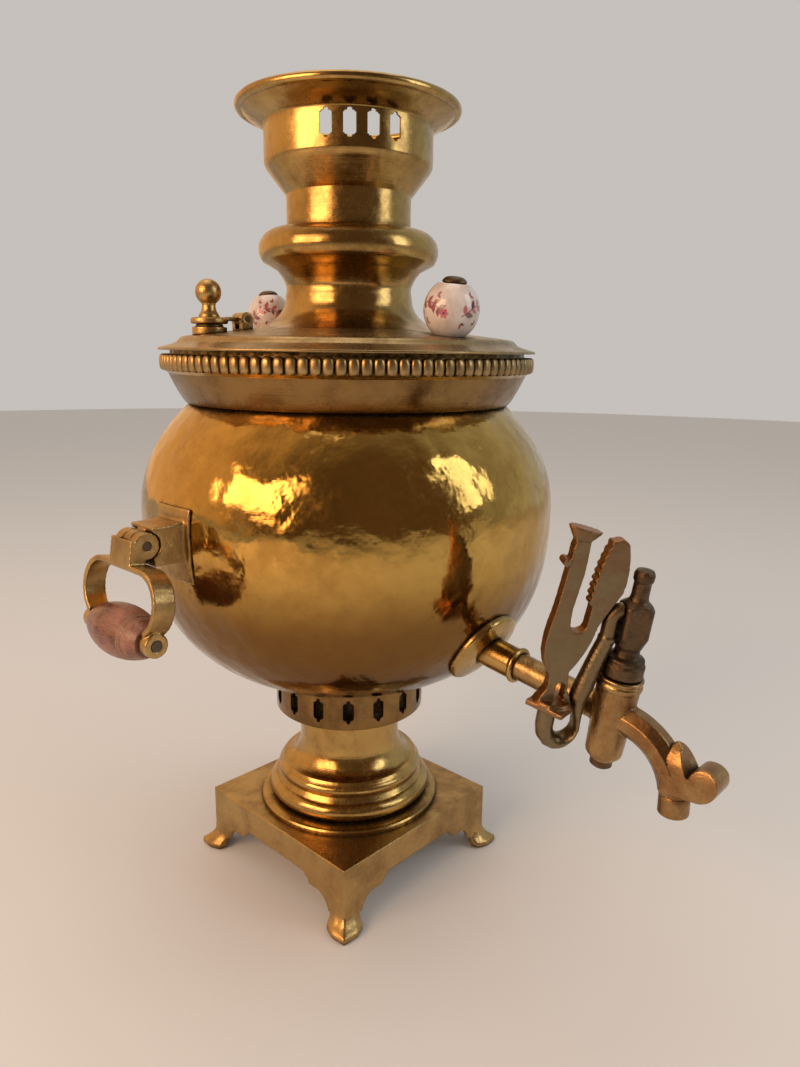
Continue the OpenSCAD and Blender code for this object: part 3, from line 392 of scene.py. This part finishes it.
spun_brass = metal_finish("spun_brass", (0.50, 0.32, 0.105, 1), (0.18, 0.10, 0.035, 1), 0.15, 0.32,
                          stained=0.7, rings=1.0, dents=0.35, grime_and_shade=1.0)
sheet = 0.0012
pedestal_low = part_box("pedestal")[0].z
pedestal_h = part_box("pedestal")[1].z - pedestal_low
flange_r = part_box("pedestal")[1].x
neck_r = 0.031
neck_foot, bell_drop, bell_out = 0.68, 0.25, 0.011
roll_r, dome_r = 0.0036, 0.0056
bell = [(neck_r + bell_out * (1 - math.cos(math.radians(a))),
         pedestal_h * (neck_foot - bell_drop * math.sin(math.radians(a)))) for a in range(6, 91, 6)]
pedestal_line = ([(neck_r, pedestal_h), (neck_r, neck_foot * pedestal_h)] + bell
                 + arc((neck_r + 0.0104, 0.345 * pedestal_h), roll_r, 60, -30)
                 + [(neck_r + 0.0132, 0.29 * pedestal_h)]
                 + arc((neck_r + 0.014, 0.155 * pedestal_h), dome_r, 80, -70)
                 + [(flange_r - 0.004, 0.07 * pedestal_h), (flange_r - 0.0006, 0.055 * pedestal_h),
                    (flange_r, 0.04 * pedestal_h), (flange_r, 0)])
pedestal = turned("pedestal_bell", raised(walled(pedestal_line, 1.5 * sheet), pedestal_low))
fix(pedestal, "vessel", "spun_brass", spun_brass, "pedestal")


# ---- Blower drum ----
# Low drum of sheet brass between foot and urn. Sixteen draught vents with a nib above and below
# are punched round its wall, and its top is folded in to carry the urn and the grate.
def ring_tree(name, cut):
    """Geometry nodes that set one shape round the Z axis in groups, and cut the piece with it
    or, where there is nothing to cut, are the piece."""
    tree = bpy.data.node_groups.new(name, "GeometryNodeTree")
    tree.interface.new_socket("Geometry", in_out="OUTPUT", socket_type="NodeSocketGeometry")
    for socket, kind in (("Geometry", "Geometry"), ("Shape", "Object"), ("Count", "Int"),
                         ("In a group", "Int"), ("First turn", "Float"), ("Turn", "Float"),
                         ("Group turn", "Float"), ("Material", "Material")):
        tree.interface.new_socket(socket, in_out="INPUT", socket_type="NodeSocket" + kind)
    build = Nodes(tree)
    maths = build.maths
    given = build.node("NodeGroupInput").outputs
    index = build.node("GeometryNodeInputIndex").outputs[0]
    within = maths("MODULO", index, given["In a group"])
    group = maths("FLOOR", maths("DIVIDE", index, given["In a group"]))
    turn = maths("ADD", maths("MULTIPLY", within, given["Turn"]),
                 maths("MULTIPLY", group, given["Group turn"]))
    turn = maths("ADD", turn, given["First turn"])
    spin = build.node("ShaderNodeCombineXYZ", {"Z": turn}).outputs[0]
    points = build.node("GeometryNodePoints", {"Count": given["Count"]}).outputs[0]
    shape = build.node("GeometryNodeObjectInfo", {"Object": given["Shape"]}).outputs["Geometry"]
    copies = build.node("GeometryNodeInstanceOnPoints",
                        {"Points": points, "Instance": shape, "Rotation": spin}).outputs[0]
    mesh = build.node("GeometryNodeRealizeInstances", {0: copies}).outputs[0]
    if cut:
        punch = build.node("GeometryNodeMeshBoolean", {"Mesh 1": given["Geometry"], "Mesh 2": mesh},
                           operation="DIFFERENCE", solver="EXACT")
        mesh = punch.outputs["Mesh"]
    dressed = build.node("GeometryNodeSetMaterial", {"Geometry": mesh, "Material": given["Material"]})
    build.node("NodeGroupOutput", {0: dressed.outputs[0]})
    return tree


def ringed(piece, tree, **given):
    """Runs a ring tree on a piece. Its inputs are given by name, with _ for a space."""
    modifier = piece.modifiers.new(tree.name, "NODES")
    modifier.node_group = tree
    for item in tree.interface.items_tree:
        if item.in_out == "INPUT" and item.name.replace(" ", "_") in given:
            modifier[item.identifier] = given[item.name.replace(" ", "_")]
    return baked(piece)


def sharpened(piece, angle=32):
    piece.data.shade_smooth()
    piece.data.set_sharp_from_angle(angle=math.radians(angle))
    return piece


def vent_punch(name, width, height, nib, radius, middle):
    """Cartouche with stepped shoulders and a nib above and below its straight sides, as a bar
    that goes through the wall at +X."""
    step = 0.13 * width
    reach = 0.006
    top = height / 2 + step
    quarter = [(width / 2, height / 2), (0.38 * width, top - 0.6 * step), (0.36 * width, top),
               (0.2 * width, top), (0.17 * width, top + 0.75 * nib)]
    half = quarter + [(0, top + nib)] + [(-x, y) for x, y in quarter[::-1]]
    outline = half + [(-x, -y) for x, y in half]
    count = len(outline)
    corners = [(radius + out, x, middle + y) for out in (-reach, reach) for x, y in outline]
    faces = [tuple(range(count))[::-1], tuple(range(count, 2 * count))]
    faces += [(i, (i + 1) % count, count + (i + 1) % count, count + i) for i in range(count)]
    mesh = bpy.data.meshes.new(name)
    mesh.from_pydata(corners, [], faces)
    return made(name, mesh)


# A darker copy of the spun brass with painted shade: the drum stands in the urn's shade and the shoulder
# band faces down to the dark.
brown_brass = metal_finish("brown_brass", (0.28, 0.165, 0.058, 1), (0.11, 0.06, 0.025, 1), 0.16, 0.34,
                           stained=0.8, rings=1.0, dents=0.35, grime_and_shade=1.0)
drum_low, drum_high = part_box("blower_drum")[0].z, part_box("blower_drum")[1].z
drum_h = drum_high - drum_low
drum_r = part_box("blower_drum")[1].x
drum_mouth = 0.029
vent_w, vent_h, vent_nib = 0.0064, 0.0093, 0.0019
vent_count, vent_turn = 16, -133.9
drum_edge = 0.0008
drum_line = ([(0, 0)] + arc((drum_r - drum_edge, drum_edge), drum_edge, -90, 0, 4)
             + arc((drum_r - drum_edge, drum_h - drum_edge), drum_edge, 0, 90, 4)
             + [(drum_mouth, drum_h), (drum_mouth, drum_h - sheet), (drum_r - sheet, drum_h - sheet),
                (drum_r - sheet, sheet), (0, sheet)])
drum = turned("draught_drum", raised(drum_line, drum_low))
punch = vent_punch("draught_punch", vent_w, vent_h, vent_nib, drum_r, (drum_low + drum_high) / 2)
punch_tree = ring_tree("punched ring", cut=True)
ringed(drum, punch_tree, Shape=punch, Count=vent_count, In_a_group=vent_count,
       First_turn=math.radians(vent_turn), Turn=math.radians(360 / vent_count), Group_turn=0.0,
       Material=brown_brass)
bpy.data.objects.remove(punch)
fix(sharpened(drum), "vessel", "spun_brass", brown_brass, "blower_drum")

# ---- Urn ----
# The body, spun full and round from sheet brass and polished, with a darker brown painted on its
# lower half as a painted reflection of the dark below it. That half is squarer than an ellipse,
# and the pipe of the tap goes through its wall.
# Darker brown below the widest part: a painted reflection of the dark below the urn.
reflected_dark_brown = (0.15, 0.068, 0.020, 1)
reflection_full_below, reflection_gone_above = 0.180, 0.222
polished_brass = metal_finish("polished_brass", (0.58, 0.355, 0.09, 1), (0.27, 0.135, 0.03, 1),
                              0.08, 0.22, stained=0.55, rings=0.35, dents=1.0, grime_and_shade=1.0,
                              reflected_below=(reflected_dark_brown, reflection_full_below, reflection_gone_above))
urn_low, urn_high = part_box("body_shell")[0].z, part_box("body_shell")[1].z
urn_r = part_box("body_shell")[1].x
widest = 0.230
curve_up, curve_low = 0.090, 0.108
squareness = 2.5
tube_low_r = 0.033


def urn_radius(z):
    if z >= widest:
        return urn_r * math.sqrt(1 - ((z - widest) / curve_up) ** 2)
    return urn_r * (1 - ((widest - z) / curve_low) ** squareness) ** (1 / squareness)


turn_in = urn_low + 0.006  # below this the wall turns in so fast that it needs closer rings
urn_line = [(urn_radius(z), z) for z in np.linspace(urn_high, turn_in, 100)]
urn_line += [(urn_radius(z), z) for z in np.linspace(turn_in, urn_low, 20)[1:]]
urn_inside = [(r - sheet, max(z, urn_low + sheet)) for r, z in reversed(urn_line)]
urn_line += [(tube_low_r, urn_low), (tube_low_r, urn_low + sheet)] + urn_inside
urn = turned("urn", urn_line, steps=320)
fix(urn, "vessel", "polished_brass", polished_brass, "body_shell")

# ---- Shoulder and rim ----
# A flared band of spun brass is seated on the urn and soldered. On it stands a stepped ring that
# carries the lid and the row of beads.
shoulder_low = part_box("shoulder_band")[0].z
shoulder_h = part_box("shoulder_band")[1].z - shoulder_low
shoulder_top_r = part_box("shoulder_band")[1].x
urn_top_r = urn_radius(urn_high)
shoulder_low_r = urn_top_r + 0.002
flare_steps = 24
flare = [(shoulder_low_r + (shoulder_top_r - shoulder_low_r) * f ** 0.8, shoulder_h * f)
         for f in np.linspace(1, 0, flare_steps)]
band_line = walled(flare, sheet)
turned_in = [(urn_top_r - sheet, 0), (urn_top_r - sheet, sheet)]  # its foot, over the urn's edge
band_line = band_line[:flare_steps] + turned_in + band_line[flare_steps + 2:]
band = turned("shoulder_band", raised(band_line, shoulder_low), steps=288)
# The band takes the darker brass with its painted shade.
fix(band, "vessel", "spun_brass", brown_brass, "shoulder_band")

rim_low, rim_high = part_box("rim_seat")[0].z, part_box("rim_seat")[1].z
bead_low, bead_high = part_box("beaded_rim")[0].z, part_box("beaded_rim")[1].z
bead_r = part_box("beaded_rim")[1].x
seat_wall_r = bead_r - 0.0029
seat_lip_r = shoulder_top_r - 0.0024
seat_line = [(seat_lip_r, rim_low), (shoulder_top_r, rim_low),
             (bead_r - 0.0027, bead_low), (seat_wall_r, bead_low), (seat_wall_r, bead_high),
             (seat_lip_r + sheet, bead_high), (seat_lip_r + sheet, rim_high), (seat_lip_r, rim_high)]
seat = turned("rim_seat", seat_line, steps=288)
fix(seat, "vessel", "spun_brass", spun_brass, "rim_seat")

# ---- Beads ----
# A hundred and twelve upright beads stand side by side round the rim, pressed in one band of
# brass, with dirt and painted shade in the gaps. One bead is a pillow with a flat back.
bead_count = 112
bead_fill, bead_depth, bead_power = 0.92, 0.0022, 3.4
bead_w = bead_fill * 2 * math.pi * bead_r / bead_count
bead_mesh = bpy.data.meshes.new("bead")
pillow = bmesh.new()
bmesh.ops.create_cube(pillow, size=2)
bmesh.ops.subdivide_edges(pillow, edges=pillow.edges, cuts=2, use_grid_fill=True)
bead_back = seat_wall_r - 0.0001
for corner in pillow.verts:
    roundness = sum(abs(c) ** bead_power for c in corner.co) ** (1 / bead_power)
    out, side, up = corner.co / roundness
    corner.co = (max(bead_r - bead_depth * (1 - out), bead_back), side * bead_w / 2,
                 (bead_low + bead_high) / 2 + up * (bead_high - bead_low) / 2)
pillow.to_mesh(bead_mesh)
pillow.free()
bead_mesh.shade_smooth()
bead = made("bead", bead_mesh)
bead_brass = metal_finish("bead_brass", (0.42, 0.285, 0.125, 1), (0.16, 0.095, 0.042, 1), 0.28, 0.45,
                          stained=0.8, grime_and_shade=1.0, grime_and_shade_reach=0.003)
beads = made("beads", bpy.data.meshes.new("beads"))
ringed(beads, ring_tree("bead ring", cut=False), Shape=bead, Count=bead_count, In_a_group=bead_count,
       First_turn=0.0, Turn=2 * math.pi / bead_count, Group_turn=0.0, Material=bead_brass)
bpy.data.objects.remove(bead)
fix(beads, "vessel", "cast_brass", bead_brass, "beaded_rim")

# ---- Fire tube and grate ----
# Brass tube that holds the charcoal, dark and dull, from the blower up into the lid's collar.
# The grate at its foot is a cast iron disc with round holes.
sooty_brass = metal_finish("sooty_brass", (0.20, 0.13, 0.06, 1), (0.05, 0.035, 0.025, 1), 0.35, 0.6,
                           stained=1.0, rings=0.6, dents=0.5, grime_and_shade=1.0)
iron = metal_finish("iron", (0.12, 0.10, 0.09, 1), (0.05, 0.035, 0.03, 1), 0.5, 0.7,
                    stained=1.0, pits=2.0)
tube_low, tube_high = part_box("fire_tube")[0].z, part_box("fire_tube")[1].z
tube_top_r = 0.0305
tube_top_h, tube_foot_h = 0.035, 0.012
tube_line = [(tube_top_r, tube_high), (tube_top_r, tube_high - tube_top_h),
             (tube_low_r, tube_low + tube_foot_h), (tube_low_r, tube_low)]
tube = turned("fire_tube", walled(tube_line, sheet), steps=160)
fix(tube, "vessel", "sooty_brass", sooty_brass, "fire_tube")
coat("grate", iron)

# ---- Handle brackets ----
# Cast brass arms that flare into a pad, soldered to the urn on each side, each with the middle
# knuckle of the handle's hinge and a steel pin through it.
steel = metal_finish("steel", (0.15, 0.115, 0.08, 1), (0.06, 0.04, 0.03, 1), 0.35, 0.55,
                     stained=0.9, pits=0.5)
for side in ("left", "right"):
    bracket = cast("bracket_" + side, "handle_bracket_" + side, 0.00048, 4)
    fix(bracket, "vessel", "cast_brass", cast_brass, "handle_bracket_" + side)
    coat("hinge_pin_" + side, steel)

# ---- Tap ----
# A dished brass plate and a brass sleeve sit round the pipe's root. The pipe, the tapered barrel and
# the eight sided spout are one casting of yellow bronze, with a scroll on its front and a nozzle.
tap_bronze = metal_finish("tap_bronze", (0.40, 0.26, 0.11, 1), (0.21, 0.09, 0.036, 1), 0.24, 0.42,
                          stained=0.9, pits=0.7, grime_and_shade=1.0, grime_and_shade_reach=0.004)
worn_bronze = metal_finish("worn_bronze", (0.21, 0.16, 0.088, 1), (0.20, 0.09, 0.04, 1), 0.26, 0.46,
                           stained=0.6, pits=0.8, grime_and_shade=1.0, grime_and_shade_reach=0.004,
                           edges=(0.40, 0.165, 0.06, 1))
fix(cast("tap_plate", "tap_flange", 0.0005, 3), "vessel", "spun_brass", spun_brass, "tap_flange")
fix(cast("tap_sleeve", "tap_ferrule", 0.0004, 3), "vessel", "spun_brass", spun_brass, "tap_ferrule")
fix(cast("tap_casting", "tap_body", 0.00045, 3), "vessel", "tap_bronze", tap_bronze, "tap_body")
fix(cast("spout_scroll", "spout_scroll", 0.0004, 4), "vessel", "tap_bronze", tap_bronze, "spout_scroll")
fix(cast("nozzle", "tap_nozzle", 0.0004, 2), "vessel", "tap_bronze", tap_bronze, "tap_nozzle")

# ---- Lid ----
# Spun brass, gone dull on top, with a thin rolled edge, a step and a long slope up to the collar. Two
# holes take the bolts of the knobs and a third lets the steam out.
dull_brass = metal_finish("dull_brass", (0.38, 0.265, 0.12, 1), (0.18, 0.11, 0.05, 1), 0.24, 0.44,
                          stained=0.8, rings=1.2, dents=0.3, grime_and_shade=1.0)
lid_low = 0.3171
lid_rise = 0.0116
lid_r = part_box("lid_plate")[1].x
ledge_r = lid_r - 0.0104
collar_foot_r = 0.0604
skirt_r = seat_lip_r - 0.0007
skirt_h = 0.008
lid_top = [(collar_foot_r, lid_rise), (ledge_r - 0.031, 0.93 * lid_rise),
           (ledge_r - 0.017, 0.78 * lid_rise), (ledge_r - 0.005, 0.66 * lid_rise),
           (ledge_r - 0.002, 0.6 * lid_rise), (ledge_r, 0.4 * lid_rise),
           (ledge_r + 0.0012, 0.33 * lid_rise), (lid_r - 0.003, 0.002), (lid_r - 0.0003, 0.0013),
           (lid_r, 0.0005), (lid_r - 0.0004, 0)]
lid_top = eased(lid_top, 2)
lid_under = [p for p in walled(lid_top, sheet)[len(lid_top):] if p[0] < skirt_r - sheet - 0.001]
lid_line = lid_top + [(skirt_r, 0), (skirt_r, -skirt_h), (skirt_r - sheet, -skirt_h)] + lid_under
lid = turned("lid", raised(lid_line, lid_low), steps=320)


def frame_at(x, y, z, *turns):
    """A place, turned about X, Y or Z by so many degrees, one after another."""
    place = Matrix.Translation((x, y, z))
    for axis, angle in turns:
        place = place @ Matrix.Rotation(math.radians(angle), 4, axis)
    return place


lid_turn = -4.5
knob_at, knob_z, knob_lean = 0.080, lid_low + 0.00887, 7
bolt_hole_r = 0.0025
steam_at, steam_z, steam_angle = 0.082, lid_low + 0.00864, 165
steam_hole_r = 0.007
drill_reach = 0.009
knob_places = {}
for name, turn in (("front", lid_turn - 90), ("back", lid_turn + 90)):
    knob_places[name] = frame_at(0, 0, 0, ("Z", turn)) @ frame_at(knob_at, 0, knob_z, ("Y", knob_lean))
steam_place = frame_at(0, 0, 0, ("Z", steam_angle)) @ frame_at(steam_at, 0, steam_z)


def bored(piece, radius, place, reach):
    """Bores a round hole along Z of a place, as far as reach to both sides."""
    drill_line = [(0, -reach), (radius, -reach), (radius, reach), (0, reach)]
    tool = turned("drill", drill_line, place, steps=48)
    cut = piece.modifiers.new("bore", "BOOLEAN")
    cut.object = tool
    cut.solver = "EXACT"
    baked(piece)
    bpy.data.objects.remove(tool)


for place in knob_places.values():
    bored(lid, bolt_hole_r, place, drill_reach)
bored(lid, steam_hole_r, steam_place, drill_reach)
fix(sharpened(lid), "lid", "polished_brass", dull_brass, "lid_plate")

collar_h = 0.0524
collar_low = lid_low + lid_rise
collar_roll_r = 0.050
crown_neck_r = 0.0344
roll_at = crown_neck_r + 0.005
waist_r, waist = crown_neck_r + 0.0012, 0.34
collar_gap = 0.00035
sweep = [(waist_r + (collar_foot_r - waist_r) * (1 - math.cos(math.radians(a))),
          waist * collar_h * (1 - math.sin(math.radians(a)))) for a in range(5, 91, 5)]
collar_line = ([(crown_neck_r + collar_gap, collar_h)]
               + arc((roll_at, collar_h - 0.0096), collar_roll_r - roll_at, 84, -38)
               + eased([(crown_neck_r + 0.006, 0.62 * collar_h),
                        (crown_neck_r + 0.0026, 0.54 * collar_h)]
                       + arc((crown_neck_r + 0.0098, 0.42 * collar_h), 0.0092, 165, 200, 4), 2)
               + sweep)
collar = turned("lid_collar", raised(walled(collar_line, 0.001), collar_low))
fix(collar, "lid", "polished_brass", spun_brass, "lid_collar")

# ---- Knobs ----
# Two round porcelain knobs, glazed white and painted with sprigs of pink leaves and flowers.
# A dark bolt with a domed head and a nut under the lid holds each one.
dark_bronze = metal_finish("dark_bronze", (0.14, 0.09, 0.05, 1), (0.04, 0.025, 0.016, 1), 0.3, 0.55,
                           stained=1.0, pits=1.2, grime_and_shade=1.0)
knob_r = 0.014
knob_h = 1.78 * knob_r
bolt_r, bolt_reach = 0.0024, 0.007


def porcelain_finish():
    """Cloudy white glaze with the paint and its shade that the points of a knob hold."""
    finish, build, shader = new_finish("porcelain")
    clouding = build.noise(build.place(), 130, 5, 0.5)
    white = build.ramp(clouding, 0.3, (0.46, 0.37, 0.31, 1), 0.6, (0.60, 0.52, 0.47, 1))
    enamel = build.blend(build.attribute("shade"), (0.50, 0.085, 0.125, 1), (0.105, 0.006, 0.022, 1))
    build.feed(shader, {"Base Color": build.blend(build.attribute("paint"), white, enamel),
                        "Roughness": build.span(clouding, 0.0, 1.0, 0.10, 0.26, "LINEAR"),
                        "Coat Weight": 0.4})
    return finish


porcelain = porcelain_finish()


def brushed(x, y, px, py, angle, length, width):
    """One stroke of a pointed brush from a place, in mm, as the amount of paint at each x and y."""
    c, s = math.cos(math.radians(angle)), math.sin(math.radians(angle))
    along = ((x - px) * c + (y - py) * s) / length
    across = np.abs((y - py) * c - (x - px) * s)
    half = width / 2 * np.sin(np.pi * np.clip(along, 0, 1) ** 0.8)
    return np.clip((half - across) / 0.22 + 0.5, 0, 1) * (half > 0.02)


def sprigs(knob, place, seed):
    """Paints sprigs round a knob: a curved stem with pairs of leaves, buds and a small flower."""
    back = place.inverted()
    points = np.array([tuple(back @ v.co) for v in knob.data.vertices]) * 1000
    turn = np.arctan2(points[:, 1], points[:, 0])
    height = points[:, 2] - 500 * knob_h
    paint, shade = np.zeros(len(points)), np.zeros(len(points))
    chance = np.random.default_rng(seed)
    swing, wave = 3.2, 4.6
    flower_x, flower_y = 9.6, -1.6

    def stem(px):
        """Height of the stem's wave at a place, and its slope in degrees."""
        return (swing * math.cos(px / wave),
                math.degrees(math.atan(-swing / wave * math.sin(px / wave))))

    def lay(amount, tone):
        shade[:] = np.where(amount > 0.02, tone, shade)
        paint[:] = np.maximum(paint, amount * chance.uniform(0.75, 1.0))

    for i in range(3):
        x = ((turn - math.radians(120 * i + 20) + np.pi) % (2 * np.pi) - np.pi) * 1000 * knob_r
        for px in np.arange(-11, 9, 1.0):
            rise, slope = stem(px)
            lay(brushed(x, height, px, rise, slope, 1.9, 0.75), 0.75)
        for px in (-9.0, -5.0, -1.0, 3.2, 6.4):
            rise, slope = stem(px)
            for side in (-1, 1):
                lean = slope + side * chance.uniform(38, 62)
                size = chance.uniform(3.8, 5.4)
                lay(brushed(x, height, px, rise, lean, size, 0.5 * size), chance.choice([0.3, 0.7, 1.0]))
        for petal in range(6):
            lay(brushed(x, height, flower_x, flower_y, 60 * petal, 2.7, 2.0), 0.1 + 0.1 * (petal % 2))
        from_heart = np.hypot(x - flower_x, height - flower_y)
        lay(np.clip((0.6 - from_heart) / 0.2 + 0.5, 0, 1), 1.0)
        for px, rise in ((-10.5, -5.5), (-2.0, -6.2), (4.5, 7.0), (-6.0, 7.4)):
            lean = chance.uniform(0, 360)
            lay(brushed(x, height, px, rise, lean, 3.2, 1.4), 0.5)
            lay(brushed(x, height, px, rise, lean + 70, 2.6, 1.2), 0.9)
    for name, values in (("paint", paint), ("shade", shade)):
        knob.data.attributes.new(name, "FLOAT", "POINT").data.foreach_set("value", values)


knob_bore = bolt_r + 0.0001
knob_end = 56
knob_line = [(knob_bore, 0)]
for a in np.linspace(-knob_end, knob_end, 120):
    knob_line.append((knob_r * math.cos(math.radians(a)),
                      knob_h / 2 * (1 + math.sin(math.radians(a)) / math.sin(math.radians(knob_end)))))
knob_line.append((knob_bore, knob_h))
head_line = [(0, -bolt_reach), (bolt_r, -bolt_reach), (bolt_r, knob_h), (0.0054, knob_h)]
head_line += eased([(0.0062, knob_h + 0.0006), (0.0060, knob_h + 0.0016), (0.0040, knob_h + 0.0033),
                    (0, knob_h + 0.0036)])
for seed, (name, place) in enumerate(knob_places.items()):
    knob = turned("knob_" + name, knob_line, place, steps=320)
    sprigs(knob, place, seed + 3)
    fix(knob, "lid", "porcelain", porcelain, "knob_" + name)
bolts = [turned("knob_bolt_" + name, head_line, place, steps=64) for name, place in knob_places.items()]
fix(bolts[0], "lid", "dark_bronze", dark_bronze, "knob_bolts")
fix(bolts[1], "lid", "dark_bronze", dark_bronze)
coat("knob_nuts", dark_bronze)

# ---- Steam vent ----
# A short brass tube lets the steam out of the lid. A flat cap with a turned finger knob closes it
# and swings on a small hinge whose leaf is soldered to the lid.
for node in ("steam_seat", "steam_leaf"):
    fix(cast(node + "_casting", node, 0.00035, 3), "lid", "cast_brass", cast_brass, node)
coat("steam_hinge_pin", steel)
steam_cap = cast("steam_cap_casting", "steam_cap", 0.0003, 3)
fix(steam_cap, "steam_flap", "cast_brass", cast_brass, "steam_cap")
ball_r, ball_z = 0.0066, 0.0126
knob_foot_z = 0.0080
finger = [(0, 0)] + eased([(0.0054, 0), (0.0052, 0.0014), (0.0038, 0.0032), (0.0034, 0.006)], 2)
finger += arc((0, ball_z), ball_r, -56, 90, 24)[:-1] + [(0, ball_z + ball_r)]
steam_knob = turned("steam_knob", raised(finger, knob_foot_z), steam_place, steps=96)
fix(steam_knob, "steam_flap", "cast_brass", cast_brass, "steam_knob")

# ---- Crown ----
# The teapot's stand, spun in two pieces: a neck that slips into the collar, and a bowl whose upright
# gallery has twelve vents in three groups and whose edge is rolled over a wire.
crown_low = collar_low + collar_h
neck_h = 0.019
neck_in_r, neck_depth = crown_neck_r - sheet, 0.007
crown_neck_line = [(neck_in_r, neck_h), (crown_neck_r, neck_h), (crown_neck_r, 0.0020)]
crown_neck_line += eased([(crown_neck_r + 0.0014, 0.0018), (crown_neck_r + 0.0020, 0.0010),
                          (crown_neck_r + 0.0020, 0.0005), (crown_neck_r + 0.0016, 0)], 2)
crown_neck_line += [(crown_neck_r, 0), (crown_neck_r, -neck_depth), (neck_in_r, -neck_depth)]
crown_neck = turned("crown_neck", raised(crown_neck_line, crown_low))
fix(crown_neck, "crown", "spun_brass", spun_brass, "crown_neck")

bowl_low = crown_low + neck_h
bowl_h = 0.046
gallery_r, gallery_h = 0.046, 0.019
gallery_z = bowl_h - gallery_h - 0.0114
gallery_turn, gallery_step, gallery_groups, in_a_group = -125, 15, 3, 4
gallery_nib = 0.0014
rim_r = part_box("crown_rim")[1].x
bowl_line = [(rim_r - 0.0034, bowl_h - 0.0046), (rim_r - 0.007, bowl_h - 0.0074),
             (gallery_r + 0.0026, bowl_h - 0.0100), (gallery_r + 0.0005, bowl_h - 0.0109),
             (gallery_r, gallery_z + gallery_h), (gallery_r, gallery_z + gallery_h - 0.001),
             (gallery_r, gallery_z + 0.0015), (gallery_r, gallery_z),
             (gallery_r - 0.0009, gallery_z - 0.0021), (gallery_r - 0.0024, gallery_z - 0.0040),
             (crown_neck_r + 0.0022, 0.16 * gallery_z), (crown_neck_r + 0.0014, 0.1 * gallery_z),
             (crown_neck_r, 0)]
bowl = turned("crown_bowl", raised(walled(bowl_line, sheet, 2), bowl_low))
punch = vent_punch("gallery_punch", vent_w, 0.5 * gallery_h, gallery_nib, gallery_r,
                   bowl_low + gallery_z + 0.6 * gallery_h)
first_turn = gallery_turn - gallery_step * (in_a_group - 1) / 2
ringed(bowl, punch_tree, Shape=punch, Count=gallery_groups * in_a_group, In_a_group=in_a_group,
       First_turn=math.radians(first_turn), Turn=math.radians(gallery_step),
       Group_turn=math.radians(360 / gallery_groups), Material=spun_brass)
bpy.data.objects.remove(punch)
fix(sharpened(bowl), "crown", "spun_brass", spun_brass, "crown_bowl")
wire_r = 0.0024
rolled = turned("crown_rim", arc((rim_r - wire_r, bowl_low + bowl_h - wire_r), wire_r, 0, 345, 23))
fix(rolled, "crown", "spun_brass", spun_brass, "crown_rim")


# ---- Handles ----
# On each side a cast strap swings on the bracket's pin, and a turned wooden grip spins on a
# steel bolt between its two bosses. The wood is stained dark red and worn.
def wood_finish():
    """Stained wood with fine grain along Y, worn patches and the grooves that its points hold."""
    finish, build, shader = new_finish("turned_wood")
    place = build.place()
    along = build.node("ShaderNodeMapping", {"Vector": place, "Scale": (1, 0.10, 1)}).outputs[0]
    grain = build.noise(along, 1500, 5, 0.5)
    wear = build.noise(place, 90, 4, 0.5)
    figure = build.node("ShaderNodeMix", {"Factor": 0.6, 2: grain, 3: wear}).outputs[0]
    tones = build.ramp(figure, 0.36, (0.085, 0.030, 0.018, 1), 0.62, (0.30, 0.13, 0.085, 1))
    pores = build.node("ShaderNodeBump", {"Distance": 0.00006, "Height": grain})
    scored = build.blend(build.attribute("groove"), tones, (0.42, 0.25, 0.16, 1))
    build.feed(shader, {"Base Color": scored,
                        "Roughness": build.span(wear, 0.35, 0.65, 0.26, 0.42, "LINEAR"),
                        "Normal": pores.outputs[0]})
    return finish


wood = wood_finish()
grip_x, grip_z = 0.148112, 0.185393
grip_half = 0.02365
grip_end_r, grip_r = 0.0072, 0.013
grip_bore = 0.00265
groove_at, groove_half = (0.55, 0.60, 0.69, 0.74), 0.011


def groove_depth(f):
    """How much of a groove lies at f, from -1 to 1 along the grip."""
    return sum(math.exp(-((f - groove) / groove_half) ** 2) for groove in groove_at)


def grip_radius(f):
    barrel = grip_end_r + (grip_r - grip_end_r) * math.cos(math.pi / 2 * abs(f)) ** 0.8
    return barrel - 0.0004 * groove_depth(f)


grip_line = [(grip_bore, -grip_half)]
grip_line += [(grip_radius(f), f * grip_half) for f in np.linspace(-1, 1, 241)]
grip_line += [(grip_bore, grip_half)]
for side, x in (("left", -grip_x), ("right", grip_x)):
    strap = cast("strap_" + side, "handle_strap_" + side, 0.00048, 4)
    fix(strap, "handle_" + side, "cast_brass", cast_brass, "handle_strap_" + side)
    grip = turned("grip_" + side, grip_line, frame_at(x, 0, grip_z, ("X", 90)), steps=128)
    depths = grip.data.attributes.new("groove", "FLOAT", "POINT")
    depths.data.foreach_set("value", [groove_depth(-v.co.y / grip_half) for v in grip.data.vertices])
    fix(grip, "grip_" + side + "_turning", "turned_wood", wood, "grip_" + side)
    coat("grip_bolt_" + side, steel)

# ---- Tap key ----
# A dark plug turns in the barrel, held from below by a washer and a nut. From its block an arm
# loops down and carries the cast rooster that the hand turns it by. narrow marks the rooster's
# narrow sides, by how far their normals turn from its thinnest direction.
plug = cast("plug", "tap_plug", 0.00045, 3, slack=0.00016)
fix(plug, "tap_key", "dark_bronze", dark_bronze, "tap_plug")
fix(cast("arm", "key_arm", 0.00045, 4), "tap_key", "tap_bronze", worn_bronze, "key_arm")
rooster = cast("rooster_casting", "rooster", 0.0004, 4)
points = np.array([tuple(v.co) for v in rooster.data.vertices])
normals = np.array([tuple(v.normal) for v in rooster.data.vertices])
flat = np.linalg.eigh(np.cov(points.T))[1][:, 0]
narrow = np.clip((0.9 - np.abs(normals @ flat)) / 0.5, 0, 1)
rooster.data.attributes.new("narrow", "FLOAT", "POINT").data.foreach_set("value", narrow)
fix(rooster, "tap_key", "tap_bronze", worn_bronze, "rooster")
coat("plug_washer", tap_bronze)
coat("plug_nut", dark_bronze)
